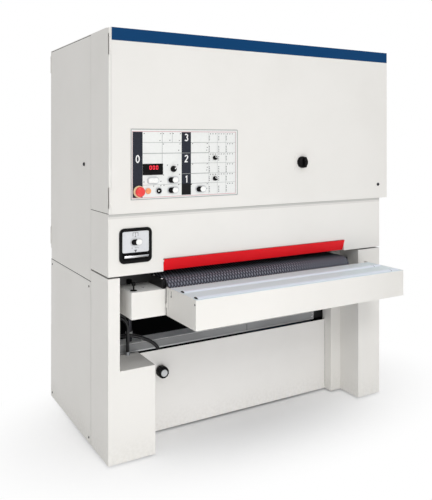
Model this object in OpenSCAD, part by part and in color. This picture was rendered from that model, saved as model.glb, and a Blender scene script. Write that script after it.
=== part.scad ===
// Wide belt sander: a floor machine with a rising conveyor table, two sanding heads
// in a sheet-metal cabinet and a control panel on its front door.
// Places are given from the cabinet's left front corner on the floor:
// X runs right along the front, Y into the machine and Z up.

/* [Cabinet] */
// Width of the upper cabinet and its front door
body_w = 1772; // [1740:2:1900]
// Depth of the cabinet
body_d = 957; // [940:1:1100]
// Set-in of the base and the apron at the right
base_step = 54; // [40:1:70]
// Depth of the front section that holds the switchgear
front_d = 247; // [240:1:270]
// Height of the front door's lower edge
door_z = 1179; // [1150:1:1200]
// Height of the apron's lower edge
apron_z = 886; // [884:1:900]
// Height of the side door's lower edge
side_door_z = 823; // [800:1:840]
// Thickness of the sheet metal
sheet = 3; // [2:0.5:4]
// Gap between neighbouring panels
seam = 3; // [2:0.5:4]
// Set-back of the apron and base behind the door face
front_step = 8; // [6:1:12]

/* [Base] */
// Gap between the base and the apron
base_gap = 8; // [6:1:12]
// Height of the covers' lower edge above the floor
floor_gap = 10; // [6:1:20]
// Width of the slim left post
left_post_w = 58; // [50:1:70]
// Width of the left foot box
left_foot_w = 240; // [200:1:260]
// Height of the left foot box
left_foot_h = 440; // [400:1:450]
// Width of the right post
right_post_w = 169; // [160:1:180]
// Width of the inner upright beside the right post
inner_post_w = 73; // [60:1:80]
// Set-back of the inner upright
inner_post_y = 165; // [150:1:180]
// Set-back of the front base panel
panel_y = 222; // [215:1:226]
// Height of the front base panel's upper edge
panel_h = 430; // [400:1:436]
// Height of the cross beams' upper face
beam_top = 480; // [470:1:500]
// Thickness of the cross beams
beam_t = 40; // [25:1:40]
// Width of the cross beams
beam_w = 90; // [80:1:100]

/* [Conveyor table] */
// Height of the conveyor belt's upper face at rest
belt_top = 852; // [846:1:855]
// Left edge of the conveyor belt
belt_x = 290; // [280:1:300]
// Distance from the conveyor belt's right edge to the cabinet's right side
belt_right = 334; // [330:1:360]
// Thickness of the conveyor belt
belt_t = 2.6; // [2:0.1:4]
// Radius of the conveyor rollers
conveyor_r = 57; // [50:0.5:60]
// Distance that the belt's front end stands out of the cabinet
belt_front_reach = 41; // [30:1:42]
// Distance that the belt's rear end stands out of the cabinet
belt_rear_reach = 75; // [60:1:90]
// Thickness of the bed's side rails
rail_t = 16; // [12:1:20]
// Thickness of the bed plate
bed_t = 12; // [8:1:20]

/* [Infeed table] */
// Left edge of the infeed table
infeed_x = 283; // [275:1:288]
// Distance from the infeed table's right edge to the cabinet's right side
infeed_right = 204; // [200:1:240]
// Distance from the cabinet front to the infeed table's front
infeed_reach = 322; // [300:1:400]
// Distance from the cabinet front to the infeed table's rear
infeed_rear = 58; // [50:1:70]
// Height of the infeed table's top
infeed_top = 817; // [810:1:820]
// Height of the infeed table's skirt
infeed_h = 137; // [120:1:140]
// Radius of the infeed rollers
infeed_roller_r = 28; // [25:0.5:29]
// Distance of the rear infeed roller from the cabinet front
infeed_roller_y1 = 160; // [150:1:170]
// Distance of the front infeed roller from the cabinet front
infeed_roller_y2 = 290; // [270:1:290]

/* [Sanding heads] */
// Height of the sanding plane
sand_z = 880; // [879:1:884]
// Radius of the contact rollers
contact_r = 70; // [60:1:75]
// Radius of the tension rollers
tension_r = 60; // [55:1:65]
// Length of a sanding belt
sanding_belt_l = 2150; // [2000:10:2200]
// Distance that the conveyor belt is wider than a sanding belt at each side
sanding_side = 9; // [8:1:20]
// Distance of the first head from the cabinet front
head_y = 437; // [420:1:450]
// Distance between the heads
head_pitch = 335; // [320:1:350]
// Radius of the dust spigots
spigot_r = 75; // [60:1:80]
// Height of the dust spigots above the cabinet
spigot_h = 60; // [40:1:80]
// Room above the tension rollers, which sets the cabinet's height
head_room = 167; // [120:1:200]

/* [Doors and guard] */
// Width of the fixed edge beside a door's hinge
door_margin = 11; // [6:0.5:11]
// Depth of the doors' folded edges
door_fold = 28; // [20:1:32]
// Length of a hinge slot
hinge_slot = 98; // [80:1:120]
// Left edge of the swinging guard
guard_x = 283; // [275:1:290]
// Distance from the guard's opening to the cabinet's right side
guard_right = 334; // [330:1:360]
// Height of the swinging guard's opening
guard_h = 62; // [55:1:70]
// Lean of the guard
guard_tilt = 20; // [10:1:25]

/* [Controls] */
// Left edge of the control fascia
fascia_x = 108; // [100:1:120]
// Lower edge of the control fascia
fascia_z = 1240; // [1220:1:1250]
// Width of the control fascia
fascia_w = 596; // [560:1:620]
// Height of the control fascia
fascia_h = 339; // [300:1:360]
// Radius of the main switch
switch_r = 32; // [25:1:36]
// Distance of the main switch from the right
switch_right = 650; // [500:1:700]
// Height of the main switch
switch_z = 1403; // [1300:1:1500]
// Radius of the emergency stop's head
stop_r = 24; // [20:1:26]
// Radius of the round push button
button_r = 13; // [10:0.5:15]
// Radius of the mode selector
selector_r = 15; // [12:0.5:17]
// Width of a twin key
key_w = 52; // [44:1:56]
// Height of a twin key
key_h = 26; // [20:1:30]
// Radius of the knob on the front base panel
panel_knob_r = 30; // [26:1:38]
// Length of the knob on the front base panel
panel_knob_l = 48; // [40:1:60]

/* [Hidden] */
$fn = 96;

// Overrun of a cut past a face
over = 1;
// Radial clearance of a shaft in its bearing
run_fit = 0.05;
// Clearance of a part that slides or passes through
slide_fit = 0.4;
// Clearance of a belt round its rollers
belt_fit = 0.4;
// Gap between a turning or sliding face and its neighbour
face_gap = 0.3;

// Widths that follow the cabinet's
base_w = body_w - base_step;
belt_w = body_w - belt_x - belt_right;
infeed_w = body_w - infeed_x - infeed_right;
guard_w = body_w - guard_x - guard_right;
switch_x = body_w - switch_right;
sanding_belt_w = belt_w - 2 * sanding_side;

// How far the side lock stands out, which sets the left limit of the part
lock_reach = 6;
origin_x = (body_w - lock_reach) / 2;
origin_y = (body_d + belt_rear_reach - infeed_reach) / 2;

// Feet and base structure
foot_h = 30;
foot_pad_r = 40;
foot_pad_t = 12;
foot_stud_r = 12;
foot_inset = 62;
foot_edge = 90;
foot_ys = [foot_edge, body_d / 2, body_d - foot_edge];
pedestal_w = 110;
pedestal_wall = 10;
pedestal_gap = 8;
rail_h = 100;
rail_y = 20;
right_bay = 158;
frame_x = base_w - right_bay;
frame_t = 30;
base_h = apron_z - base_gap;
panel_lap = 40;
beam_front_y = 245;
beam_rear_off = 152;
beam_rear_y = body_d - beam_rear_off;
beam_ys = [beam_front_y, beam_rear_y];
beam_bolt_r = 9;
beam_bolt_h = 8;
beam_bolt_shares = [0.12, 0.56, 0.90];
rear_panel_h = 430;

// Conveyor table
table_r = conveyor_r + belt_fit + belt_t;
axis_z = belt_top - table_r;
axis_front_y = table_r - belt_front_reach;
axis_rear_y = body_d + belt_rear_reach - table_r;
rail_gap = 2;
rail_nose = 22;
rail_drop = 40;
rail_drop_y = [130, 800];
rail_x1 = belt_x - rail_gap - rail_t;
rail_x2 = belt_x + belt_w + rail_gap;
bed_end_gap = 6;
shaft_r = 15;
drive_stub = 40;
roller_end_gap = 1;
screw_r = 15;
screw_top = 800;
screw_off = 52;
screw_xs = [rail_x1 - screw_off, rail_x2 + rail_t + screw_off];
screw_ys = [for (y = beam_ys) y + beam_w / 2];
bracket_reach = 86;
bracket_w = 60;
bracket_h = 45;
bracket_top = axis_z - conveyor_r + bracket_h / 2;
gear_w = 80;
gear_d = 84;
gear_h = 100;
gear_motor_r = 38;
gear_motor_l = 140;

// Infeed table and the end box beside it
slot_half = 22;
slot_end = 2;
roller_proud = 6;
roller_inset = 20;
roller_shaft_r = 8;
roller_shaft_end = 4;
roller_bracket_t = 10;
roller_bracket_w = 56;
roller_axis_z = infeed_top + roller_proud - infeed_roller_r;
infeed_cheek = 26;
ear_h = 35;
ear_l = 120;
ear_weld = 10;
ear_gap = 1;
tongue_h = 18;
end_box_x = 108;
end_box_front = 14;
end_box_lap = 3;
ear_front = sheet - end_box_front + ear_gap;
end_box_d = 165;
end_box_top = 806;
end_box_h = 127;
tension_off = 27;
tension_x = end_box_x + tension_off;
tension_y = 27;
tension_stem_r = 4;
tension_flange_r = 15;
tension_flange_t = 3;
tension_stem_h = 26;
tension_head_r = 17;
tension_head_t = 12;

// Sanding heads and drive
grit_t = 1.5;
contact_z = sand_z + contact_r + belt_fit + grit_t;
head_l = (sanding_belt_l - PI * (contact_r + tension_r)) / 2;
tension_z = contact_z + head_l;
body_h = round(tension_z + tension_r + head_room);
head_ys = [head_y, head_y + head_pitch];
belt_mid_x = belt_x + belt_w / 2;
roller_over = 5;
head_x1 = belt_mid_x - sanding_belt_w / 2 - roller_over;
head_x2 = belt_mid_x + sanding_belt_w / 2 + roller_over;
head_plate_t = 20;
head_plate_gap = 8;
head_half = 45;
head_plate_low = 45;
head_plate_high = 36;
head_wall = 10;
head_beam_low_share = 0.23;
head_beam_high_share = 0.8;
contact_shaft_r = 25;
tension_shaft_r = 20;
shaft_hole_r = 38;
pulley_x = frame_x + frame_t + 20;
pulley_w = 40;
pulley_r = 80;
motor_pulley_r = 95;
groove_count = 3;
groove_d = 8;
groove_w = 9;
drive_belt_t = 7;
drive_belt_w = 8;
motor_y = head_y + head_pitch / 2;
motor_z = 330;
motor_r = 125;
motor_l = 340;
motor_flange_r = 150;
motor_flange_t = 16;
motor_shaft_r = 24;
motor_bore_l = 60;
motor_fin_count = 24;
motor_fin_t = 4;
motor_fin_h = 8;
motor_fin_inset = 40;
bar_w = 34;
bar_h = 22;
bar_gap = 3;
bar_off = 110;
bar_ys = [head_y - bar_off, head_y + head_pitch / 2, head_y + head_pitch + bar_off];
plenum_w = 116;
plenum_low = 30;
plenum_h = 380;
spigot_wall = 3;
duct_step = 1;
duct_r = spigot_r - duct_step;
spigot_shares = [0.28, 0.72];

// Door hinges
hinge_r = 5;
hinge_pin_r = 3;
hinge_off = 6;
hinge_lug = 15;
hinge_end_gap = 1;
hinge_slot_d = 12;
hinge_low = 27;
hinge_high = 128;
door_x = 2 * hinge_off;
leaf_in = 4;
front_hinge_zs = [door_z + hinge_low, body_h - hinge_high];
side_hinge_zs = [apron_z + hinge_low, body_h - hinge_high];
side_hinge_y = body_d - hinge_off;
side_door_y1 = front_d + seam;
side_door_y2 = body_d - door_x;
side_door_top = body_h - sheet - seam;

// Swinging guard
guard_axis_in = 6;
guard_axis_low = 12;
guard_axis_y = front_step + guard_axis_in;
guard_axis_z = apron_z + guard_h - guard_axis_low;
guard_rod_r = 6;
guard_knuckle_r = 9;
guard_knuckle_l = 40;
guard_knuckle_shares = [0.1, 0.37, 0.63, 0.9];
guard_plate_t = 3;
guard_plate_y = 11;
guard_rise = 15;
guard_drop = guard_h - guard_rise;
guard_end_gap = 2;
cheek_d = 40;

// Control fascia, with the places of the controls as shares of its width and height
fascia_t = 3;
fascia_lap = 10;
stop_share = [0.069, 0.118];
lamp_share = [0.149, 0.121];
button_share = [0.242, 0.118];
selector_share = [0.374, 0.425];
rocker_share = [0.191, 0.268];
display_share = [0.191, 0.425];
key_shares = [[0.371, 0.266], [0.371, 0.12], [0.631, 0.118]];
small_selector_shares = [[0.767, 0.575], [0.767, 0.266]];
display_w = 106;
display_h = 54;
display_t = 3;
lamp_r = 15;
lamp_t = 7;
stop_collar_r = 28;
stop_collar_t = 8;
stop_stem_r = 8;
stop_travel = 6;
stop_head_t = 14;
stem_back = 18;
clip_t = 4;
clip_w = 3;
button_ring_w = 4;
button_ring_t = 6;
button_travel = 4;
button_head_t = 5;
button_stem_r = 5;
selector_t = 15;
selector_stem_r = 4;
small_selector_r = 11;
ridge_w = 6;
ridge_t = 5;
key_gap = 1.2;
key_wall = 4;
key_bezel_t = 7;
key_front = 10;
key_back = 3;
key_pivot = 4.5;
key_pin_r = 1.5;
key_pin_in = 3;

// Main switch and locks
switch_plate = 92;
switch_plate_t = 3;
switch_t = 24;
switch_grip_w = 14;
switch_grip_t = 14;
switch_stem_r = 6;
grip_share = 0.9;
lock_r = 9;
lock_stem_r = 6;
lock_head_t = 5;
lock_cam_l = 36;
lock_cam_w = 14;
lock_cam_t = 4;
lock_cam_y = 6;
door_lock_edge = 73.5;
door_lock_rise = 81;
door_lock_catch = 11;
door_lock_cam_l = door_lock_rise - door_lock_catch;
door_lock_x = body_w - door_lock_edge;
door_lock_z = door_z + door_lock_rise;
side_lock_y = 348;
side_lock_z = 1402;

// Local control station on the apron
station_x = 54;
station_z = 938;
station_w = 166;
station_h = 175;
station_corner = 25;
station_rim = 14;
station_rim_t = 6;
station_plate_t = 3;
station_key_share = [0.52, 0.59];
lip_r = 18;
lip_wall = 3;
lip_l_share = 0.66;
lip_z_share = 0.14;

// Knob on the front base panel
panel_knob_x = 368;
panel_knob_z = 322;
knob_shaft_r = 8;
knob_shaft_back = 20;
knob_flute_count = 12;
knob_flute_r = 5;
knob_cap_r_share = 0.55;
knob_cap_t = 2;

// Screws that hold the panels
screw_head_r = 6;
screw_head_t = 2;
screw_edge = 27;

// Switchgear
gear_plate_t = 3;
gear_boss_r = 8;
gear_boss_l = 6;
gear_edge = 110;
gear_rail_t = 8;
gear_rail_h = 35;
gear_row_shares = [0.22, 0.5, 0.78];
gear_unit_w = 46;
gear_unit_h = 80;
gear_unit_d = 90;
gear_unit_pitch = 52;
gear_unit_count = 16;
drive_unit_w = 260;
drive_unit_h_share = 0.5;
drive_unit_d = 130;

// Air hoses in the left bay: their fittings and the routes between them
hose_r = 9;
hose_sides = 12;
hose_side = [0, 1, 0];
hose_fitting_r = 12;
hose_block_h = 20;
hose_a = [[74, 205, 640], [106, 205, 640], [124.6, 205, 637.5], [142, 205, 630.4], [156.9, 205, 618.9],
    [168.4, 205, 604], [175.5, 205, 586.6], [178, 205, 568], [178, 205, 530], [178, 205, 490], [178, 205, 456]];
hose_b = [[129, 262, 520], [150, 262, 520], [175, 260.5, 520.5], [205, 256, 519.5], [235, 248, 514.5],
    [265, 240.5, 505], [295, 235.5, 491.5], [322, 234.8, 475.5], [344, 234.8, 457], [360, 234.8, 436],
    [368.5, 234.8, 418], [372, 234.8, 403]];

// Moves a piece from corner measures to the part's own origin
module place() {
    translate([-origin_x, -origin_y, 0]) children();
}

// Box between two limits along each axis
module span(x, y, z) {
    translate([x[0], y[0], z[0]]) cube([x[1] - x[0], y[1] - y[0], z[1] - z[0]]);
}

// Rods along each axis
module rod_x(x, y, z, r) {
    translate([x[0], y, z]) rotate([0, 90, 0]) cylinder(r = r, h = x[1] - x[0]);
}

module rod_y(x, y, z, r) {
    translate([x, y[0], z]) rotate([-90, 0, 0]) cylinder(r = r, h = y[1] - y[0]);
}

module rod_z(x, y, z, r) {
    translate([x, y, z[0]]) cylinder(r = r, h = z[1] - z[0]);
}

// Outline round two circles, the first at the origin and the second above or beside it
module loop_outline(r1, r2, to) {
    hull() {
        circle(r1);
        translate(to) circle(r2);
    }
}

// Feet, pedestal and frame
module levelling_feet() {
    color("dimgray") place()
        for (x = [foot_inset, base_w - foot_inset], y = foot_ys) {
            rod_z(x, y, [0, foot_pad_t], foot_pad_r);
            rod_z(x, y, [0, foot_h], foot_stud_r);
        }
}

module left_pedestal() {
    x1 = sheet;
    x2 = sheet + pedestal_w;
    y1 = front_d + seam;
    y2 = body_d - sheet;
    top = side_door_z - pedestal_gap;
    low = foot_h + rail_h;
    color("gray") place() difference() {
        union() {
            span([x1, x2], [rail_y, y2], [foot_h, low]);
            span([x1, x2], [y1, y2], [foot_h, top]);
        }
        span([x1 - over, x2 - pedestal_wall], [y1 + pedestal_wall, y2 - pedestal_wall],
            [low + pedestal_wall, top - pedestal_wall]);
    }
}

module right_frame() {
    low = foot_h + rail_h;
    y2 = body_d - sheet;
    color("gray") place() difference() {
        union() {
            span([frame_x, base_w - sheet], [rail_y, y2], [foot_h, low]);
            span([frame_x, frame_x + frame_t], [front_d, y2], [foot_h, body_h - sheet]);
        }
        for (y = head_ys)
            rod_x([frame_x - over, frame_x + frame_t + over], y, contact_z, shaft_hole_r);
        rod_x([frame_x - over, frame_x + frame_t + over], motor_y, motor_z, shaft_hole_r);
    }
}

module cross_beams() {
    x1 = sheet + pedestal_w;
    color("silver") place() {
        for (y = beam_ys)
            span([x1, frame_x], [y, y + beam_w], [beam_top - beam_t, beam_top]);
        for (s = beam_bolt_shares)
            rod_z(x1 + s * (frame_x - x1), beam_front_y + beam_w / 4,
                [beam_top - beam_t, beam_top + beam_bolt_h], beam_bolt_r);
    }
}

// Base covers
module left_base_cover() {
    y = front_step;
    color("whitesmoke") place() difference() {
        union() {
            span([0, left_post_w], [y, front_d], [floor_gap, base_h]);
            span([0, left_foot_w], [y, panel_y], [floor_gap, left_foot_h]);
        }
        span([sheet, left_post_w - sheet], [y + sheet, front_d + over],
            [floor_gap - over, base_h - sheet]);
        span([sheet, left_foot_w - sheet], [y + sheet, panel_y - sheet],
            [floor_gap - over, left_foot_h - sheet]);
        span([sheet, sheet + pedestal_w + seam], [panel_y - sheet - over, front_d + over],
            [floor_gap - over, foot_h + rail_h + seam]);
    }
}

module right_base_cover() {
    x1 = base_w - right_post_w;
    x0 = x1 - inner_post_w;
    y = front_step;
    color("whitesmoke") place() difference() {
        union() {
            span([x1, base_w], [y, front_d], [floor_gap, base_h]);
            span([x0, x1 + sheet], [inner_post_y, front_d], [floor_gap, base_h]);
        }
        span([x1 + sheet, base_w - sheet], [y + sheet, front_d + over],
            [floor_gap - over, base_h - sheet]);
        span([x0 + sheet, x1 + sheet + over], [inner_post_y + sheet, front_d + over],
            [floor_gap - over, base_h - sheet]);
        span([x0 - over, x0 + sheet + over], [beam_front_y - seam, front_d + over],
            [beam_top - beam_t - seam, beam_top + seam]);
    }
}

module front_base_panel() {
    x1 = left_foot_w - panel_lap;
    x2 = base_w - right_post_w - inner_post_w;
    color("whitesmoke") place() difference() {
        span([x1, x2], [panel_y, panel_y + sheet], [floor_gap, panel_h]);
        rod_y(panel_knob_x, [panel_y - over, panel_y + sheet + over], panel_knob_z,
            knob_shaft_r + run_fit);
    }
}

module left_lower_panel() {
    color("gainsboro") place()
        span([0, sheet], [front_d + seam, body_d - sheet], [floor_gap, side_door_z - seam]);
}

module right_lower_panel() {
    color("gainsboro") place()
        span([base_w - sheet, base_w], [front_d + seam, body_d - sheet], [floor_gap, door_z]);
}

module right_upper_panel() {
    color("gainsboro") place() {
        span([body_w - sheet, body_w], [front_d + seam, body_d - sheet], [door_z, body_h - sheet]);
        span([base_w - sheet, body_w], [front_d + seam, body_d - sheet], [door_z, door_z + sheet]);
    }
}

module rear_upper_panel() {
    y = [body_d - sheet, body_d];
    color("gainsboro") place() {
        difference() {
            union() {
                span([0, body_w], y, [door_z, body_h - sheet]);
                span([0, base_w], y, [apron_z, door_z]);
                span([0, sheet], [body_d - door_margin, body_d], [apron_z, body_h - sheet]);
            }
            for (z = side_hinge_zs)
                span([-over, hinge_slot_d], [body_d - door_margin - over, body_d + over],
                    [z, z + hinge_slot]);
        }
        for (z = side_hinge_zs) hinge_pin(0, side_hinge_y, z);
    }
}

module rear_lower_panel() {
    color("gainsboro") place()
        span([0, base_w], [body_d - sheet, body_d], [floor_gap, rear_panel_h]);
}

module top_cover() {
    color("whitesmoke") place() difference() {
        span([0, body_w], [door_fold + seam, body_d], [body_h - sheet, body_h]);
        for (s = spigot_shares)
            rod_z(head_x1 + s * (head_x2 - head_x1), motor_y,
                [body_h - sheet - over, body_h + over], duct_r + slide_fit);
    }
}

// Hinge: a pin held by a lug at each end of its slot, and the knuckle that turns on it
module hinge_pin(x, y, z) {
    rod_z(x, y, [z - over, z + hinge_lug], hinge_r);
    rod_z(x, y, [z + hinge_slot - hinge_lug, z + hinge_slot + over], hinge_r);
    rod_z(x, y, [z, z + hinge_slot], hinge_pin_r);
}

function knuckle_z(z) = [z + hinge_lug + hinge_end_gap, z + hinge_slot - hinge_lug - hinge_end_gap];

// Cabinet and switchgear
module cabinet_shell() {
    z = [door_z, body_h - sheet];
    inner_y = [door_fold + seam, front_d];
    color("whitesmoke") place() {
        difference() {
            union() {
                span([0, sheet], [0, front_d], z);
                span([0, door_margin], [0, sheet], z);
                span([0, body_w], inner_y, [door_z, door_z + sheet]);
                span([body_w - sheet, body_w], inner_y, z);
                span([0, body_w], [front_d - sheet, front_d], z);
            }
            for (h = front_hinge_zs)
                span([-over, door_margin + over], [-over, hinge_slot_d], [h, h + hinge_slot]);
        }
        for (h = front_hinge_zs) hinge_pin(hinge_off, 0, h);
    }
}

module switchgear() {
    y = front_d - sheet - gear_boss_l;
    x = [gear_edge, body_w - gear_edge];
    z = [door_z + gear_edge / 2, body_h - gear_edge / 2];
    color("silver") place() {
        span(x, [y - gear_plate_t, y], z);
        for (bx = [x[0] + gear_edge, x[1] - gear_edge], bz = [z[0] + gear_edge, z[1] - gear_edge])
            rod_y(bx, [y - over, y + gear_boss_l], bz, gear_boss_r);
        for (s = gear_row_shares) {
            row = z[0] + s * (z[1] - z[0]);
            rail_end = x[0] + gear_edge / 2 + gear_unit_count * gear_unit_pitch;
            span([x[0] + gear_edge / 2, rail_end], [y - gear_plate_t - gear_rail_t, y - gear_plate_t],
                [row - gear_rail_h / 2, row + gear_rail_h / 2]);
            for (i = [0 : gear_unit_count - 1])
                translate([x[0] + gear_edge / 2 + i * gear_unit_pitch, y - gear_plate_t - gear_unit_d,
                    row - gear_unit_h / 2])
                    cube([gear_unit_w, gear_unit_d - gear_rail_t + over, gear_unit_h]);
        }
        span([x[1] - gear_edge / 2 - drive_unit_w, x[1] - gear_edge / 2],
            [y - gear_plate_t - drive_unit_d, y - gear_plate_t],
            [z[0] + gear_edge, z[0] + gear_edge + drive_unit_h_share * (z[1] - z[0])]);
    }
}

// Folded door leaf with its front or outer face on the lower limit of its depth
module front_door() {
    z = [door_z, body_h];
    color("whitesmoke") place() difference() {
        union() {
            difference() {
                span([door_x, body_w], [0, door_fold], z);
                span([door_x + sheet, body_w - sheet], [sheet, door_fold + over],
                    [door_z + sheet, body_h - sheet]);
                span([fascia_x + fascia_lap, fascia_x + fascia_w - fascia_lap], [-over, sheet + over],
                    [fascia_z + fascia_lap, fascia_z + fascia_h - fascia_lap]);
            }
            span([switch_x - switch_plate / 2, switch_x + switch_plate / 2], [-switch_plate_t, over],
                [switch_z - switch_plate / 2, switch_z + switch_plate / 2]);
            for (h = front_hinge_zs) {
                k = knuckle_z(h);
                rod_z(hinge_off, 0, k, hinge_r);
                span([hinge_off, door_x + leaf_in], [0, sheet], k);
            }
        }
        for (h = front_hinge_zs)
            rod_z(hinge_off, 0, [h, h + hinge_slot], hinge_pin_r + run_fit);
        rod_y(switch_x, [-switch_plate_t - over, sheet + over], switch_z, switch_stem_r + run_fit);
        rod_y(door_lock_x, [-over, sheet + over], door_lock_z, lock_stem_r + run_fit);
    }
}

module side_door() {
    y = [side_door_y1, side_door_y2];
    z = [side_door_z, side_door_top];
    color("gainsboro") place() difference() {
        union() {
            difference() {
                span([0, door_fold], y, z);
                span([sheet, door_fold + over], [y[0] + sheet, y[1] - sheet], [z[0] + sheet, z[1] - sheet]);
            }
            for (h = side_hinge_zs) {
                k = knuckle_z(h);
                rod_z(0, side_hinge_y, k, hinge_r);
                span([0, sheet], [side_door_y2 - leaf_in, side_hinge_y], k);
            }
        }
        for (h = side_hinge_zs)
            rod_z(0, side_hinge_y, [h, h + hinge_slot], hinge_pin_r + run_fit);
        rod_x([-over, sheet + over], side_lock_y, side_lock_z, lock_stem_r + run_fit);
    }
}

// Quarter-turn lock along +Y with its head in front of the face at y = 0
module lock_body(head_t, cam_l) {
    rod_y(0, [-head_t, -face_gap], 0, lock_r);
    rod_y(0, [-head_t, lock_cam_y + lock_cam_t], 0, lock_stem_r);
    span([-lock_cam_w / 2, lock_cam_w / 2], [lock_cam_y, lock_cam_y + lock_cam_t], [-cam_l, lock_r]);
}

module door_lock() {
    color("dimgray") place() translate([door_lock_x, 0, door_lock_z])
        lock_body(lock_head_t, door_lock_cam_l);
}

module side_lock() {
    color("dimgray") place() translate([0, side_lock_y, side_lock_z]) rotate([0, 0, -90])
        lock_body(lock_reach, lock_cam_l);
}

module main_switch() {
    y = -switch_plate_t - face_gap;
    color("black") place() translate([switch_x, 0, switch_z]) {
        rod_y(0, [y - switch_t, y], 0, switch_r);
        span([-switch_grip_w / 2, switch_grip_w / 2], [y - switch_t - switch_grip_t, y - switch_t + over],
            [-grip_share * switch_r, grip_share * switch_r]);
        rod_y(0, [y - over, sheet + stem_back], 0, switch_stem_r);
        rod_y(0, [sheet + face_gap, sheet + face_gap + clip_t], 0, switch_stem_r + clip_w);
    }
}

// Control fascia
function at(share) = [fascia_x + share[0] * fascia_w, 0, fascia_z + share[1] * fascia_h];

// Bezel and rocking key of a twin key, with the surface that carries them at y = 0
module key_bezel() {
    w = key_w / 2 + key_gap;
    h = key_h / 2 + key_gap;
    difference() {
        span([-w - key_wall, w + key_wall], [-key_bezel_t, over], [-h - key_wall, h + key_wall]);
        span([-w, w], [-key_bezel_t - over, 0], [-h, h]);
        rod_z(0, -key_pivot, [-h - key_pin_in - face_gap, h + key_pin_in + face_gap], key_pin_r + run_fit);
    }
}

module rocking_key() {
    h = key_h / 2 + key_gap + key_pin_in;
    span([-key_w / 2, key_w / 2], [-key_front, -key_back], [-key_h / 2, key_h / 2]);
    rod_z(0, -key_pivot, [-h, h], key_pin_r);
}

// Turning selector with a ridge, and the hole that it needs in its carrier
module selector_body(r) {
    rod_y(0, [-selector_t, -face_gap], 0, r);
    span([-ridge_w / 2, ridge_w / 2], [-selector_t - ridge_t, -selector_t + over],
        [-grip_share * r, grip_share * r]);
    rod_y(0, [-selector_t, fascia_t + stem_back], 0, selector_stem_r);
    rod_y(0, [fascia_t + face_gap, fascia_t + face_gap + clip_t], 0, selector_stem_r + clip_w);
}

module stem_hole(r) {
    rod_y(0, [-fascia_t - over, fascia_t + over], 0, r);
}

module control_fascia() {
    y = -fascia_t;
    color("gainsboro") place() difference() {
        union() {
            span([fascia_x, fascia_x + fascia_w], [y, 0], [fascia_z, fascia_z + fascia_h]);
            translate(at(display_share))
                span([-display_w / 2, display_w / 2], [y - display_t, y + over], [-display_h / 2, display_h / 2]);
            translate(at(lamp_share)) rod_y(0, [y - lamp_t, y + over], 0, lamp_r);
            translate(at(stop_share)) rod_y(0, [y - stop_collar_t, y + over], 0, stop_collar_r);
            translate(at(button_share)) difference() {
                rod_y(0, [y - button_ring_t, y + over], 0, button_r + slide_fit + button_ring_w);
                rod_y(0, [y - button_ring_t - over, y], 0, button_r + slide_fit);
            }
            for (s = concat([rocker_share], key_shares))
                translate(at(s)) translate([0, y, 0]) key_bezel();
        }
        translate(at(stop_share)) rod_y(0, [y - stop_collar_t - over, over], 0, stop_stem_r + run_fit);
        translate(at(button_share)) stem_hole(button_stem_r + run_fit);
        translate(at(selector_share)) stem_hole(selector_stem_r + run_fit);
        for (s = small_selector_shares)
            translate(at(s)) stem_hole(selector_stem_r + run_fit);
    }
}

module emergency_stop() {
    y = -fascia_t - stop_collar_t - stop_travel - face_gap;
    color("red") place() translate(at(stop_share)) {
        rod_y(0, [y - stop_head_t, y], 0, stop_r);
        rod_y(0, [y - over, stem_back], 0, stop_stem_r);
        rod_y(0, [face_gap, face_gap + clip_t], 0, stop_stem_r + clip_w);
    }
}

module reset_button() {
    y = -fascia_t - button_travel - face_gap;
    color("black") place() translate(at(button_share)) {
        rod_y(0, [y - button_head_t, y], 0, button_r);
        rod_y(0, [y - over, stem_back], 0, button_stem_r);
        rod_y(0, [face_gap, face_gap + clip_t], 0, button_stem_r + clip_w);
    }
}

module fascia_key(share) {
    place() translate(at(share)) translate([0, -fascia_t, 0]) rocking_key();
}

module fascia_selector(share, r) {
    place() translate(at(share)) translate([0, -fascia_t, 0]) selector_body(r);
}

module thickness_rocker() {
    color("white") fascia_key(rocker_share);
}

module mode_selector() {
    color("black") fascia_selector(selector_share, selector_r);
}

module twin_key_1() {
    color("black") fascia_key(key_shares[0]);
}

module twin_key_2() {
    color("black") fascia_key(key_shares[1]);
}

module twin_key_3() {
    color("black") fascia_key(key_shares[2]);
}

module selector_2() {
    color("black") fascia_selector(small_selector_shares[0], small_selector_r);
}

module selector_3() {
    color("black") fascia_selector(small_selector_shares[1], small_selector_r);
}

// Apron with the opening for the guard, the guard's cheeks and its rod
module apron() {
    y = front_step;
    g = [guard_x, guard_x + guard_w];
    top = apron_z + guard_h;
    color("whitesmoke") place() {
        difference() {
            span([0, base_w], [y, y + sheet], [apron_z, door_z]);
            span(g, [y - over, y + sheet + over], [apron_z - over, top]);
        }
        for (x = [0, base_w - sheet])
            span([x, x + sheet], [y, front_d], [apron_z, door_z]);
        for (x = [g[0] - sheet, g[1]])
            span([x, x + sheet], [y, y + cheek_d], [apron_z, top + sheet]);
        span([g[0] - sheet, g[1] + sheet], [y, y + cheek_d], [top, top + sheet]);
        rod_x([g[0] - sheet, g[1] + sheet], guard_axis_y, guard_axis_z, guard_rod_r);
    }
}

module guard_bar() {
    x = [guard_x + guard_end_gap, guard_x + guard_w - guard_end_gap];
    color("red") place() translate([0, guard_axis_y, guard_axis_z]) rotate([guard_tilt, 0, 0]) difference() {
        union() {
            span(x, [-guard_plate_y, guard_plate_t - guard_plate_y], [-guard_drop, guard_rise]);
            for (s = guard_knuckle_shares) {
                k = x[0] + s * (x[1] - x[0]);
                rod_x([k - guard_knuckle_l / 2, k + guard_knuckle_l / 2], 0, 0, guard_knuckle_r);
            }
        }
        rod_x([x[0] - over, x[1] + over], 0, 0, guard_rod_r + run_fit);
    }
}

// Local control station on the apron
module round_plate(w, h, r) {
    for (x = [r, w - r], z = [r, h - r]) translate([x, z]) circle(r);
    translate([r, 0]) square([w - 2 * r, h]);
    translate([0, r]) square([w, h - 2 * r]);
}

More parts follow.
